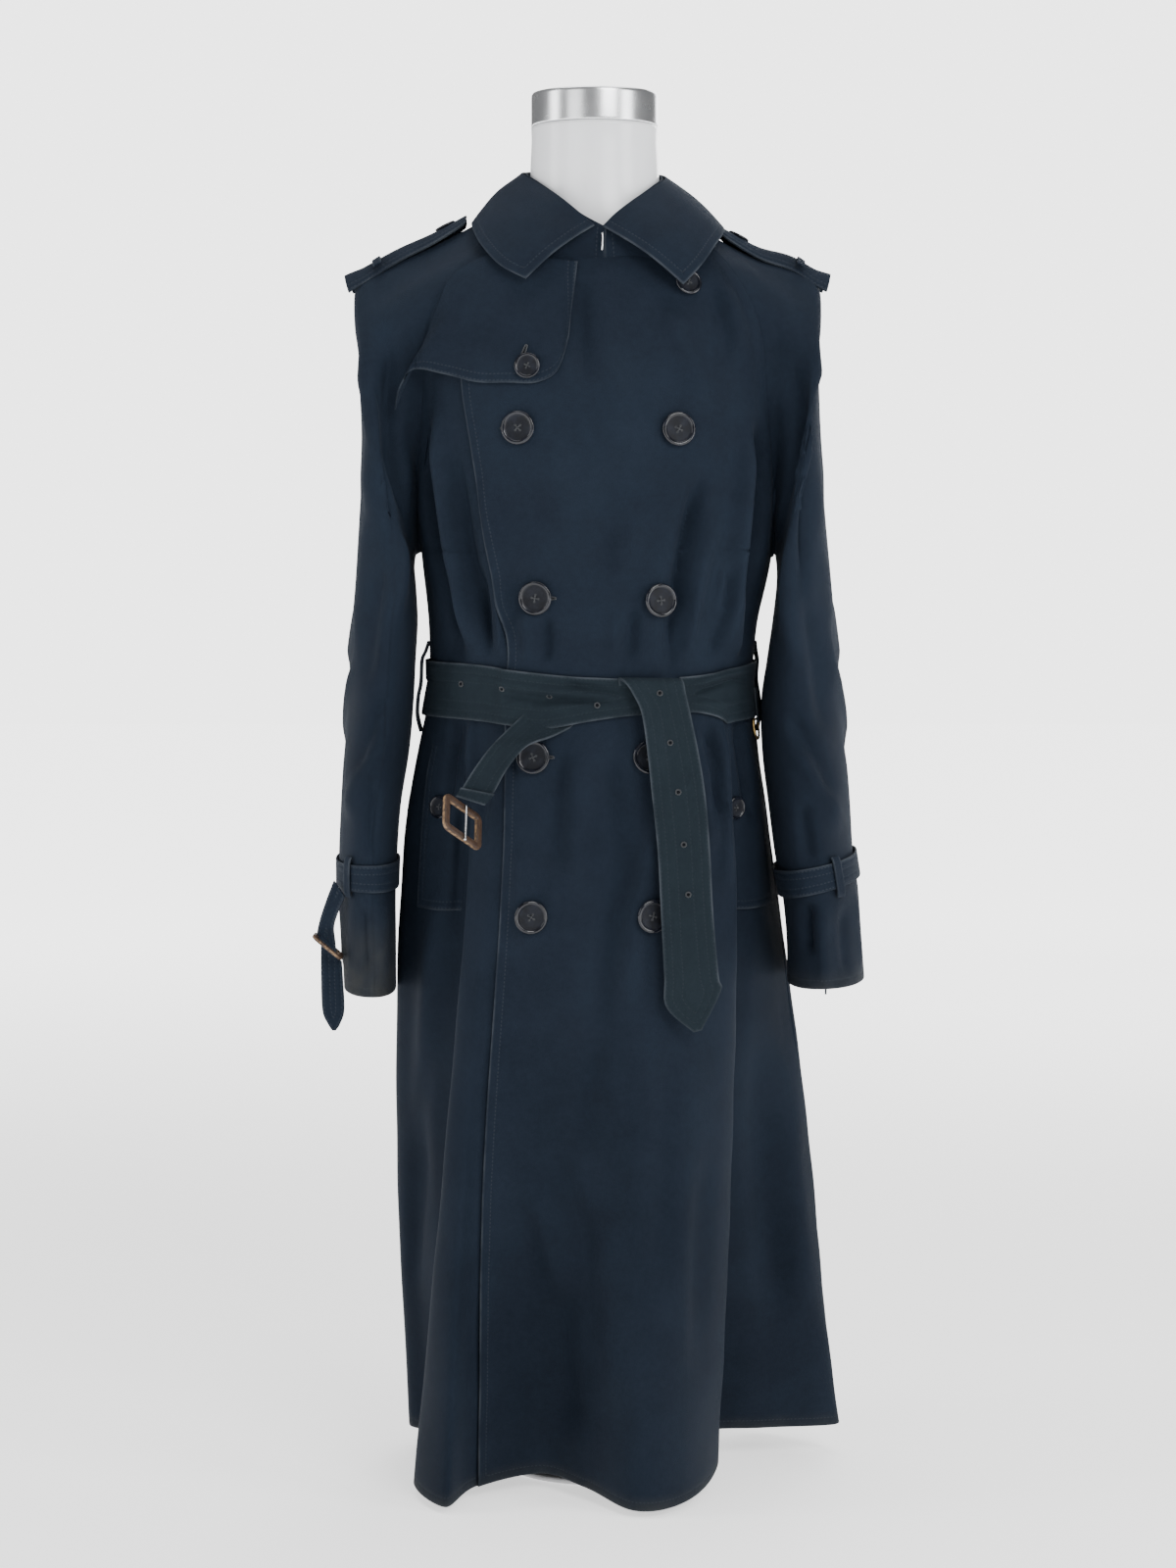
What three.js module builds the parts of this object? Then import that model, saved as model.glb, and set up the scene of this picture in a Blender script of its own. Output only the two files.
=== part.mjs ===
// Double-breasted raglan trench coat, belted and buttoned, on a limbless dress form.
// Millimetres, +Z up. The front faces -Y and the wearer's left is +X. The floor is z = 0.
import * as THREE from 'three';

const V = (x, y, z) => new THREE.Vector3(x, y, z);
const mix = (a, b, t) => a + (b - a) * t;
const smooth = (t) => {
  const k = Math.min(1, Math.max(0, t));
  return k * k * (3 - 2 * k);
};
const sign = (v) => (v < 0 ? -1 : 1);
const power = (v, p) => sign(v) * Math.abs(v) ** p;
const DEG = Math.PI / 180;

// Driving dimensions.
const CLOTH = 2; // coat cloth with its lining
const SEAM = 0.3; // gap between pieces that are sewn together
const LAP = 3; // the over front lies this far above the under front
const BELT_Z = 744; // narrowest place, under the belt
const ARMPIT_Z = 860;
const NECK_SEAM_Z = 1158; // where the raglan seams end at the neck
const FOLDS = 26; // fold lines round the skirt
const SIDE_LEFT = 8.5; // side seams, counted in fold lines from the over edge
const SIDE_RIGHT = 19.5;
const UNDERLAP = 3.5; // the under front runs on beneath the over front by this many lines

// Level sections of the closed coat from the belt to the neck.
// height, centre x, half width, depth in front, depth behind, squareness
const TORSO = [
  [744, -4, 147, 118, 112, 0.86],
  [800, -1, 151, 121, 114, 0.86],
  [860, 2, 160, 122, 115, 0.86],
  [950, 1, 167, 120, 116, 0.86],
  [1000, 0, 174, 116, 114, 0.86],
  [1050, 0, 186, 106, 110, 0.86],
  [1085, -1, 200, 95, 104, 0.86],
  [1110, -1, 182, 87, 96, 0.87],
  [1135, 0, 128, 78, 84, 0.92],
  [1160, 0, 82, 67, 72, 0.96],
  [1185, 0, 66, 62, 62, 1],
];
// Raglan seam: height, distance from the middle.
const RAGLAN = [
  [860, 160],
  [875, 160],
  [900, 158],
  [950, 156],
  [1000, 153],
  [1050, 149],
  [1085, 139],
  [1110, 124],
  [1135, 104],
  [1160, 78],
];
// Over front's free edge above the belt: height, bearing in degrees to the wearer's right.
const OVER_EDGE = [
  [744, 27],
  [783, 26.2],
  [821, 29.7],
  [852, 32],
  [894, 34.7],
  [956, 37.7],
  [1009, 38.5],
  [1050, 35.5],
  [1085, 30],
  [1110, 29.5],
  [1160, 36],
];
// Neckline: bearing from the front, height.
const NECKLINE = [
  [0, 1121],
  [20, 1124],
  [35, 1131],
  [50, 1143],
  [68, 1158],
  [112, 1158],
  [140, 1166],
  [180, 1170],
];
// Fold lines from the belt to the hem, in order round the skirt.
// bearing at the belt, x and y at the hip, x and y at the knee, x and y at the hem, hem height
const SKIRT = [
  [-27, -81, -123, -101.5, -101, -108, -80, 12], // over edge
  [-16, -48, -128, -54, -96, -48, -54, 17],
  [-4, -10, -131, -6, -116, -8, -84, 13],
  [12, 38, -132, 40, -134, 38, -136, 7], // front ridge
  [26, 80, -124, 86, -121, 84, -110, 9],
  [42, 122, -96, 121.5, -74, 113, -22, 16], // right edge of the front fold
  [52, 119, -68, 106, -22, 100, 38, 28],
  [68, 145, -44, 146, 2, 162, 46, 30],
  [82, 157, -8, 190, 32, 231, 58, 30],
  [98, 164, 40, 204, 66, 218, 96, 30], // left wing of the back
  [118, 142, 86, 160, 116, 160, 136, 30],
  [135, 106, 108, 114, 116, 114, 116, 30],
  [152, 68, 126, 72, 148, 76, 166, 30],
  [166, 34, 121, 34, 122, 34, 122, 30],
  [180, -2, 130, -2, 150, -2, 164, 30],
  [195, -40, 123, -42, 126, -44, 120, 30],
  [210, -76, 124, -82, 148, -86, 160, 30],
  [226, -112, 104, -118, 118, -122, 118, 30],
  [242, -146, 82, -156, 110, -156, 132, 30],
  [258, -172, 44, -182, 66, -174, 100, 30], // right wing of the back
  [282, -176, -8, -184, 22, -176, 58, 29],
  [292, -162, -34, -168, -2, -154, 40, 28],
  [302, -138, -60, -150, -28, -142, 14, 24],
  [310, -110, -80, -130, -54, -150, -16, 16],
  [318, -112, -103, -138, -95, -166, -62, 9], // narrow fold beside the over edge
  [326, -97, -118, -120, -114, -134, -128, 7],
];
// Loose cloth drawn in by the belt: bearing, height, how far it stands out, half width, reach
const GATHERS = [
  [-54, 812, 6, 9, 42],
  [-36, 800, 4, 7, 36],
  [48, 806, 6, 9, 44],
  [24, 796, 3, 7, 34],
  [64, 880, 5, 9, 60],
  [-66, 890, 6, 9, 60],
  [150, 800, 5, 10, 40],
  [180, 806, 5, 10, 44],
  [212, 800, 5, 10, 40],
];

// A smooth curve through a table's rows, which rise in their first column.
function read(table, column, at) {
  const n = table.length;
  let i = 0;
  while (i < n - 2 && at > table[i + 1][0]) i += 1;
  const slope = (k) => {
    const lo = Math.max(0, k - 1);
    const hi = Math.min(n - 1, k + 1);
    return (table[hi][column] - table[lo][column]) / (table[hi][0] - table[lo][0]);
  };
  const h = table[i + 1][0] - table[i][0];
  const t = (at - table[i][0]) / h;
  if (t < 0) return table[0][column] + (at - table[0][0]) * slope(0);
  if (t > 1) return table[n - 1][column] + (at - table[n - 1][0]) * slope(n - 1);
  const a = table[i][column];
  const b = table[i + 1][column];
  return (
    a * (2 * t ** 3 - 3 * t * t + 1) +
    b * (3 * t * t - 2 * t ** 3) +
    h * slope(i) * (t ** 3 - 2 * t * t + t) +
    h * slope(i + 1) * (t ** 3 - t * t)
  );
}

// Point between b and c of four that follow each other.
const through = (a, b, c, d, t) =>
  0.5 * (2 * b + (c - a) * t + (2 * a - 5 * b + 4 * c - d) * t * t + (3 * b - a - 3 * c + d) * t ** 3);

const bend = (a, b, c, d, t) =>
  V(through(a.x, b.x, c.x, d.x, t), through(a.y, b.y, c.y, d.y, t), through(a.z, b.z, c.z, d.z, t));

// The coat above the belt, at a bearing from the front (positive to +X) and a height.
function torso(bearing, z) {
  const [s, c] = [Math.sin(bearing * DEG), Math.cos(bearing * DEG)];
  const p = read(TORSO, 5, z);
  let out = 0;
  for (const [at, height, rise, wide, reach] of GATHERS) {
    const off = ((((bearing - at) % 360) + 540) % 360) - 180;
    out += rise * Math.exp(-((off / wide) ** 2) - ((z - height) / reach) ** 2);
  }
  const k = 1 + (out * smooth((z - BELT_Z - 22) / 25)) / 130;
  const x = read(TORSO, 1, z) + power(s, p) * read(TORSO, 2, z) * k;
  return V(x, -power(c, p) * read(TORSO, c > 0 ? 3 : 4, z) * k, z);
}

function seamBearing(z) {
  if (z <= ARMPIT_Z) return 90;
  const share = Math.min(1, read(RAGLAN, 1, z) / read(TORSO, 2, z));
  return Math.asin(share ** (1 / read(TORSO, 5, z))) / DEG;
}

// Bearing of fold line q at a height above the belt. The fronts and the back share the side seams.
function bearing(q, z, back) {
  const line = ((q % FOLDS) + FOLDS) % FOLDS;
  const at = (k) => {
    const i = Math.floor(k) % FOLDS;
    const next = i + 1 === FOLDS ? 360 + SKIRT[0][0] : SKIRT[i + 1][0];
    return mix(SKIRT[i][0], next, k - Math.floor(k));
  };
  const seam = seamBearing(z);
  const edge = read(OVER_EDGE, 1, z);
  if (back || (line > SIDE_LEFT && line < SIDE_RIGHT)) {
    return mix(180 - seam, 180 + seam, (at(line) - 90) / 180);
  }
  if (line <= SIDE_LEFT) return mix(-edge, seam, (at(line) + 27) / 117);
  return mix(-seam, -edge, (at(line) - 270) / 63);
}

const hemHeight = (q) => {
  const i = Math.floor(q);
  const row = (k) => SKIRT[(((i + k) % FOLDS) + FOLDS) % FOLDS][7];
  return through(row(-1), row(0), row(1), row(2), q - i);
};

// Each fold line's run from the hem up to the belt.
const RUNS = SKIRT.map(([at, hipX, hipY, kneeX, kneeY, hemX, hemY, hem]) => {
  const belt = torso(at, BELT_Z);
  return [
    [hem, hemX, hemY],
    [290, kneeX, kneeY],
    [590, hipX, hipY],
    [BELT_Z, belt.x, belt.y],
  ];
});

// The coat's outer surface on fold line q, counted from the over edge, at a height.
function coat(q, z, back = false) {
  if (z >= BELT_Z) return torso(bearing(q, z, back), z);
  const i = Math.floor(q);
  const at = (k, column) => read(RUNS[(((i + k) % FOLDS) + FOLDS) % FOLDS], column, z);
  const f = q - i;
  return V(
    through(at(-1, 1), at(0, 1), at(1, 1), at(2, 1), f),
    through(at(-1, 2), at(0, 2), at(1, 2), at(2, 2), f),
    z,
  );
}

function coatNormal(q, z, back = false) {
  const round = coat(q + 0.08, z, back).sub(coat(q - 0.08, z, back));
  const up = coat(q, z + 2, back).sub(coat(q, z - 2, back));
  return round.cross(up).normalize();
}

// How far the over front stands above the base surface. It runs out before its side seam.
const overLift = (q) => LAP * (1 - smooth((q - 3.6) / 4));

// Fold line at a given x on the front of the coat.
function lineAt(x, z) {
  let [lo, hi] = [-7, 8.4];
  for (let k = 0; k < 30; k += 1) {
    const mid = (lo + hi) / 2;
    if (coat(mid, z).x < x) lo = mid;
    else hi = mid;
  }
  return (lo + hi) / 2;
}

function onFront(x, z, lift) {
  const q = lineAt(x, z);
  const normal = coatNormal(q, z);
  return { at: coat(q, z).addScaledVector(normal, lift), normal };
}

// Materials.
const paint = (color, roughness, metalness = 0) => new THREE.MeshStandardMaterial({ color, roughness, metalness });
const NAVY = paint(0x1c2430, 0.85);
const BELT_CLOTH = paint(0x222c33, 0.85);
const HORN = paint(0x0b0c12, 0.2);
const LEATHER = paint(0x5a3a22, 0.5);
const STEEL = paint(0xc9c9cc, 0.25, 1);
const BRASS = paint(0xb08d4a, 0.3, 1);
const CHROME = paint(0xd8d8da, 0.1, 1);
const IVORY = paint(0xe9e9ea, 0.4);
const IRON = paint(0xd0d0d2, 0.35, 0.6);

const model = new THREE.Group();

// Closes index lists into a solid, with its faces outward, and adds it to the model.
function solid(name, points, faces, material) {
  const geometry = new THREE.BufferGeometry();
  geometry.setAttribute('position', new THREE.Float32BufferAttribute(points.flatMap((p) => [p.x, p.y, p.z]), 3));
  const volume = faces.reduce((sum, [a, b, c]) => sum + points[a].dot(points[b].clone().cross(points[c])), 0);
  geometry.setIndex(faces.flatMap(([a, b, c]) => (volume < 0 ? [a, c, b] : [a, b, c])));
  geometry.computeVertexNormals();
  const mesh = new THREE.Mesh(geometry, material);
  mesh.name = name;
  model.add(mesh);
  return mesh;
}

// Outward directions of a grid of points. "inside" gives a point within the form for each row.
function directions(grid, round, inside) {
  const [rows, cols] = [grid.length, grid[0].length];
  let facing = 0;
  const found = grid.map((row, r) =>
    row.map((p, c) => {
      const down = grid[Math.min(rows - 1, r + 1)][c].clone().sub(grid[Math.max(0, r - 1)][c]);
      const next = round ? (c + 1) % cols : Math.min(cols - 1, c + 1);
      const before = round ? (c + cols - 1) % cols : Math.max(0, c - 1);
      const n = down.cross(row[next].clone().sub(row[before])).normalize();
      facing += n.dot(p.clone().sub(inside(r)));
      return n;
    }),
  );
  if (facing < 0) found.forEach((row) => row.forEach((n) => n.negate()));
  return found;
}

// A wall of even thickness behind a grid of outer points, closed at its edges.
function wall(name, grid, material, options = {}) {
  const { round = false, thick = CLOTH, firstRow = null, facing = null, inside = (r) => V(0, 0, grid[r][0].z) } = options;
  const [rows, cols] = [grid.length, grid[0].length];
  const out = facing ?? directions(grid, round, inside);
  if (firstRow) out[0] = firstRow;
  const points = [...grid.flat(), ...grid.flatMap((row, r) => row.map((p, c) => p.clone().addScaledVector(out[r][c], -thick)))];
  const at = (r, c, inner = 0) => inner * rows * cols + r * cols + (c % cols);
  const faces = [];
  const quad = (a, b, c, d) => faces.push([a, b, c], [a, c, d]);
  const spans = round ? cols : cols - 1;
  for (let r = 0; r < rows - 1; r += 1) {
    for (let c = 0; c < spans; c += 1) {
      quad(at(r, c), at(r + 1, c), at(r + 1, c + 1), at(r, c + 1));
      quad(at(r, c, 1), at(r, c + 1, 1), at(r + 1, c + 1, 1), at(r + 1, c, 1));
    }
    if (!round) {
      quad(at(r, 0), at(r, 0, 1), at(r + 1, 0, 1), at(r + 1, 0));
      quad(at(r, cols - 1), at(r + 1, cols - 1), at(r + 1, cols - 1, 1), at(r, cols - 1, 1));
    }
  }
  for (let c = 0; c < spans; c += 1) {
    quad(at(0, c), at(0, c + 1), at(0, c + 1, 1), at(0, c, 1));
    quad(at(rows - 1, c), at(rows - 1, c, 1), at(rows - 1, c + 1, 1), at(rows - 1, c + 1));
  }
  return solid(name, points, faces, material);
}

// A solid of stacked rings, closed by a point at each end, or joined end to start.
function rings(name, list, material, joined = false) {
  const n = list[0].length;
  const points = list.flat();
  const faces = [];
  const last = joined ? list.length : list.length - 1;
  for (let r = 0; r < last; r += 1) {
    const next = ((r + 1) % list.length) * n;
    for (let c = 0; c < n; c += 1) {
      const d = (c + 1) % n;
      faces.push([r * n + c, next + c, next + d], [r * n + c, next + d, r * n + d]);
    }
  }
  if (!joined) {
    for (const [r, flip] of [[0, false], [list.length - 1, true]]) {
      const middle = list[r].reduce((sum, p) => sum.add(p), V(0, 0, 0)).divideScalar(n);
      points.push(middle);
      for (let c = 0; c < n; c += 1) {
        const pair = [r * n + c, r * n + ((c + 1) % n)];
        faces.push([points.length - 1, ...(flip ? pair.reverse() : pair)]);
      }
    }
  }
  return solid(name, points, faces, material);
}

// A round bar along a line of points.
function bar(name, line, radius, sides, material, joined = false, flat = 1) {
  const n = line.length;
  const list = line.map((p, i) => {
    const before = joined ? line[(i + n - 1) % n] : line[Math.max(0, i - 1)];
    const after = joined ? line[(i + 1) % n] : line[Math.min(n - 1, i + 1)];
    const along = after.clone().sub(before).normalize();
    const side = V(0.13, 0.97, 0.21).cross(along).normalize();
    const lift = along.clone().cross(side);
    return Array.from({ length: sides }, (_, k) => {
      const a = (k / sides) * 2 * Math.PI;
      return p.clone().addScaledVector(side, radius * Math.cos(a)).addScaledVector(lift, radius * flat * Math.sin(a));
    });
  });
  return rings(name, list, material, joined);
}

// A piece turned about an axis, from a profile of [radius, height] pairs, with flat ends.
function turned(name, profile, sides, material, at, axis) {
  const side = (Math.abs(axis.z) > 0.9 ? V(1, 0, 0) : V(0, 0, 1)).cross(axis).normalize();
  const lift = axis.clone().cross(side);
  const list = profile.map(([radius, height]) =>
    Array.from({ length: sides }, (_, k) => {
      const a = (k / sides) * 2 * Math.PI;
      return at
        .clone()
        .addScaledVector(axis, height)
        .addScaledVector(side, radius * Math.cos(a))
        .addScaledVector(lift, radius * Math.sin(a));
    }),
  );
  return rings(name, list, material);
}

// Rows of a panel of the coat from the hem to the neckline, and its grid over fold lines.
const SKIRT_ROWS = [1, 0.9, 0.78, 0.66, 0.54, 0.42, 0.31, 0.21, 0.13, 0.06];
const BODICE_ROWS = [0, 0.2, 0.42, 0.7, 1];
const SHOULDER_ROWS = 8;

function neckHeight(q, back) {
  if (Math.abs(q - SIDE_LEFT) < 0.1 || Math.abs(q - SIDE_RIGHT) < 0.1) return NECK_SEAM_Z;
  let z = 1140;
  for (let k = 0; k < 8; k += 1) z = read(NECKLINE, 1, Math.abs(((bearing(q, z, back) + 540) % 360) - 180));
  return z;
}

function panel(name, from, to, lift, options = {}) {
  const { back = false, tuck = [0, 0] } = options;
  const lines = [];
  for (let q = from; q <= to + 1e-6; q += 0.5) lines.push(q);
  lines[0] += tuck[0];
  lines[lines.length - 1] -= tuck[1];
  const heights = [
    ...SKIRT_ROWS.map((t) => (q) => mix(BELT_Z, hemHeight(q), t)),
    ...BODICE_ROWS.map((t) => () => mix(BELT_Z, ARMPIT_Z, t)),
  ];
  for (let k = 1; k <= SHOULDER_ROWS; k += 1) heights.push((q) => mix(ARMPIT_Z, neckHeight(q, back), k / SHOULDER_ROWS));
  const facing = heights.map((height) => lines.map((q) => coatNormal(q, height(q), back)));
  const grid = heights.map((height, r) =>
    lines.map((q, c) => coat(q, height(q), back).addScaledVector(facing[r][c], lift(q))),
  );
  return wall(name, grid, NAVY, { facing });
}

const TUCK = 0.012; // share of a fold line that clears a seam
panel('front_left', 0, SIDE_LEFT, overLift, { tuck: [0, TUCK] });
panel('front_right', SIDE_RIGHT, FOLDS + UNDERLAP, () => 0, { tuck: [TUCK, 0] });
panel('back', SIDE_LEFT, SIDE_RIGHT, () => 0, { back: true, tuck: [TUCK, TUCK] });

// Sections down each raglan sleeve, which hangs flattened beside the body.
// inner x and z, outer x and z, depth in front, depth behind, centre y, lean of the front edge inward
const SLEEVES = {
  left: [
    [166, 857, 203, 1094, 82, 84, 0, 0],
    [167, 847, 203, 1030, 92, 88, 0, 3],
    [167, 836, 205, 965, 95, 88, 0, 6],
    [166, 822, 211, 895, 95, 88, -1, 8],
    [163, 797, 217, 832, 94, 86, -2, 8],
    [158, 762, 222, 778, 92, 84, -3, 8],
    [153, 725, 227, 732, 90, 82, -4, 8],
    [154, 680, 231, 683, 88, 80, -5, 8],
    [160, 630, 235, 632, 85, 78, -6, 8],
    [166, 585, 238, 585, 82, 75, -7, 8],
    [173, 548, 243, 552, 80, 73, -8, 8],
    [177, 510, 246, 512, 80, 74, -8, 8],
    [178, 469, 249, 471, 82, 76, -8, 8],
  ],
  right: [
    [164, 857, 216, 1090, 82, 84, 0, 0],
    [165, 847, 214, 1030, 92, 88, 0, 3],
    [164, 836, 211, 965, 95, 88, 0, 5],
    [163, 822, 215, 895, 95, 88, -1, 5],
    [162, 797, 219, 832, 94, 86, -2, 5],
    [164, 762, 224, 778, 92, 84, -3, 5],
    [166, 725, 227, 732, 90, 82, -4, 5],
    [170, 680, 230, 683, 88, 80, -5, 5],
    [178, 630, 233, 632, 85, 78, -6, 5],
    [181.5, 585, 235, 585, 82, 75, -7, 4],
    [183, 548, 235, 552, 78, 72, -8, 4],
    [183, 510, 233, 512, 76, 70, -8, 4],
    [183, 461, 231, 463, 78, 72, -8, 4],
  ],
};
const ROUND = 2 * SHOULDER_ROWS + 3; // points round a sleeve

function section([innerX, innerZ, outerX, outerZ, front, behind, centreY, lean], hand) {
  return Array.from({ length: ROUND }, (_, j) => {
    const a = (j / ROUND) * 2 * Math.PI;
    const [c, s] = [power(Math.cos(a), 0.9), power(Math.sin(a), 0.88)];
    const x = (innerX + outerX) / 2 + ((innerX - outerX) / 2) * c - lean * Math.sin(a);
    return V(hand * x, centreY - (s > 0 ? front : behind) * s, (innerZ + outerZ) / 2 + ((innerZ - outerZ) / 2) * c);
  });
}

// The sleeve's upper end follows the raglan seam up the front, across the neck and down the back.
function seamRing(hand) {
  const line = (z, back) => {
    const seam = seamBearing(z);
    return hand * (back ? 180 - seam : seam);
  };
  const places = [[hand * 90, ARMPIT_Z]];
  const height = (k) => mix(ARMPIT_Z, NECK_SEAM_Z, k / SHOULDER_ROWS);
  for (let k = 1; k <= SHOULDER_ROWS; k += 1) places.push([line(height(k), false), height(k)]);
  places.push([hand * 83, NECK_SEAM_Z + 1], [hand * 97, NECK_SEAM_Z + 1]);
  for (let k = SHOULDER_ROWS; k >= 1; k -= 1) places.push([line(height(k), true), height(k)]);
  const points = places.map(([turn, z]) => torso(turn, z));
  const normals = places.map(([turn, z]) => {
    const round = torso(turn + 1, z).sub(torso(turn - 1, z));
    return round.cross(torso(turn, z + 2).sub(torso(turn, z - 2))).normalize();
  });
  const outward = points.map((p, j) => {
    const along = points[(j + 1) % ROUND].clone().sub(points[(j + ROUND - 1) % ROUND]);
    const away = normals[j].clone().cross(along).normalize();
    return away.x * hand + (j === 0 ? away.z : 0) < 0 ? away.negate() : away;
  });
  const ring = points.map((p, j) => p.addScaledVector(outward[j], SEAM + 0.2));
  const facing = normals.map((n, j) => {
    const near = Math.min(j, ROUND - j);
    return n.lerp(V(0, 0, -1), 1 - smooth(near / 4)).normalize();
  });
  return { ring, outward, facing };
}

const sleeveGrids = {};
for (const [side, hand] of [['left', 1], ['right', -1]]) {
  const { ring, outward, facing } = seamRing(hand);
  const sections = SLEEVES[side].map((row) => section(row, hand));
  const before = ring.map((p, j) => p.clone().addScaledVector(outward[j], -p.distanceTo(sections[0][j])));
  const list = [before, ring, ...sections, sections[sections.length - 1]];
  const grid = [ring];
  for (let k = 1; k < list.length - 2; k += 1) {
    const steps = k === 1 ? 3 : 1;
    for (let m = 1; m <= steps; m += 1) {
      grid.push(ring.map((_, j) => bend(list[k - 1][j], list[k][j], list[k + 1][j], list[k + 2][j], m / steps)));
    }
  }
  sleeveGrids[side] = grid;
  const middles = grid.map((row) => row.reduce((sum, p) => sum.add(p), V(0, 0, 0)).divideScalar(ROUND));
  wall(`sleeve_${side}`, grid, NAVY, { round: true, firstRow: facing, inside: (r) => middles[r] });
}

// A point on a sleeve's grid, r rows down and c columns round.
function onSleeve(side, r, c) {
  const grid = sleeveGrids[side];
  const [i, j] = [Math.min(grid.length - 2, Math.floor(r)), Math.floor(c)];
  const at = (a, b) => grid[a][((b % ROUND) + ROUND) % ROUND];
  const upper = at(i, j).clone().lerp(at(i, j + 1), c - j);
  return upper.lerp(at(i + 1, j).clone().lerp(at(i + 1, j + 1), c - j), r - i);
}

function sleeveNormal(side, r, c) {
  const round = onSleeve(side, r, c + 0.4).sub(onSleeve(side, r, c - 0.4));
  const down = onSleeve(side, Math.min(r + 0.4, 15), c).sub(onSleeve(side, Math.max(0, r - 0.4), c));
  const n = down.cross(round).normalize();
  return side === 'left' ? n : n.negate();
}

// Epaulettes lie on the shoulders, from the sleeve's outer end toward the collar.
// share of the way down, half width, lift
const EPAULETTE = [
  [0.62, 12, 8.2],
  [0.72, 20, 7.2],
  [1.2, 22, 5.7],
  [1.8, 24, 4.2],
  [2.4, 26, 4.0],
  [2.8, 27, 4.4],
  [3, 27, 5.2],
];
for (const [side, hand] of [['left', 1], ['right', -1]]) {
  const strip = (rows, extra) =>
    rows.map(([r, half, lift]) =>
      [-1, -0.5, 0, 0.5, 1].map((k) => {
        const y = k * half;
        let [lo, hi] = [5, 14];
        for (let n = 0; n < 24; n += 1) {
          const mid = (lo + hi) / 2;
          if (onSleeve(side, r, mid).y < y) lo = mid;
          else hi = mid;
        }
        return onSleeve(side, r, lo).addScaledVector(sleeveNormal(side, r, lo), lift + extra);
      }),
    );
  const below = { inside: () => V(hand * 120, 0, 900) };
  wall(`epaulette_${side}`, strip(EPAULETTE, 0), NAVY, below);
  wall(`keeper_${side}`, strip([[2.3, 29, 6.6], [2.5, 29, 6.6]], 0), NAVY, below);
  const up = sleeveNormal(side, 1, 9.5);
  turned(`epaulette_button_${side}`, [[8, 0], [10, 1.5], [9, 3.4], [7, 2.6]], 10, HORN, onSleeve(side, 1, 9.5).addScaledVector(up, 7.8), up);
}

// Collar: a stand round the neck and a leaf that folds over it, from the front's right round to its left.
// fold x y z, outer edge x y z, bearing of the neck seam under it
const COLLAR = [
  [0, -89, 1149, -61, -102, 1101, -3],
  [-16, -80, 1163, -84, -93, 1114, -16],
  [-32, -65, 1177, -101, -70, 1134, -32],
  [-51, -38, 1192, -109, -34, 1152, -54],
  [-63.3, -6, 1203, -108, 8, 1161, -84],
  [-60, 34, 1209, -90, 56, 1160, -120],
  [-34, 62, 1212, -50, 88, 1150, -152],
  [0, 70, 1213, 0, 98, 1146, -180],
  [34, 62, 1212, 50, 88, 1150, -208],
  [58, 34, 1207, 92, 56, 1158, -240],
  [62.5, -6, 1199, 112, 6, 1157, -276],
  [52, -38, 1188, 115, -34, 1148, -306],
  [32, -65, 1172, 106, -68, 1132, -326],
  [18, -79, 1160, 94, -91, 1114, -341],
  [7, -88, 1148, 78, -103, 1096, -357.5],
];
const STATIONS = [];
for (let k = 0; k < COLLAR.length - 1; k += 1) {
  const row = (i) => COLLAR[Math.min(COLLAR.length - 1, Math.max(0, k + i))];
  for (const t of [0, 0.5]) STATIONS.push(row(0).map((_, n) => through(row(-1)[n], row(0)[n], row(1)[n], row(2)[n], t)));
}
STATIONS.push(COLLAR[COLLAR.length - 1]);
const collarStrip = (t, first) =>
  STATIONS.map(([fx, fy, fz, ex, ey, ez]) => {
    const out = V(fx, fy - 4, 0).normalize();
    const p = V(fx, fy, fz).lerp(V(ex, ey, ez), t).addScaledVector(out, first);
    return p.addScaledVector(V(out.x * 0.7, out.y * 0.7, 0.7), 5 * Math.sin(Math.PI * t));
  });
wall('collar', [0, 0.12, 0.4, 0.7, 1].map((t) => collarStrip(t, 1.6)), NAVY, {
  inside: () => V(0, 0, 1130),
});
wall(
  'collar_stand',
  [0, 0.33, 0.67, 1].map((t) =>
    STATIONS.map(([fx, fy, fz, , , , turn]) => {
      const round = Math.abs(((turn + 540) % 360) - 180);
      const side = smooth((round - 40) / 15) * smooth((140 - round) / 15);
      const low = torso(turn, mix(read(NECKLINE, 1, round), 1160.5, side));
      low.add(V(0, -(LAP + 0.5) * smooth((60 - round) / 20), SEAM + 1.8));
      const high = V(fx, fy, fz).addScaledVector(V(fx, fy - 4, 0).normalize(), -1.2);
      return low.lerp(high, t);
    }),
  ),
  NAVY,
  { inside: () => V(0, 0, 1160) },
);
// Throat hook between the ends of the stand.
const HOOK = [
  [6.3, -87.9, 1127],
  [6.6, -88.7, 1131],
  [6.8, -89.2, 1137],
  [6.7, -88.5, 1142],
  [6.6, -88.1, 1140],
];
bar('throat_hook', HOOK.map(([x, y, z]) => V(x, y, z)), 0.8, 6, STEEL);

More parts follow.
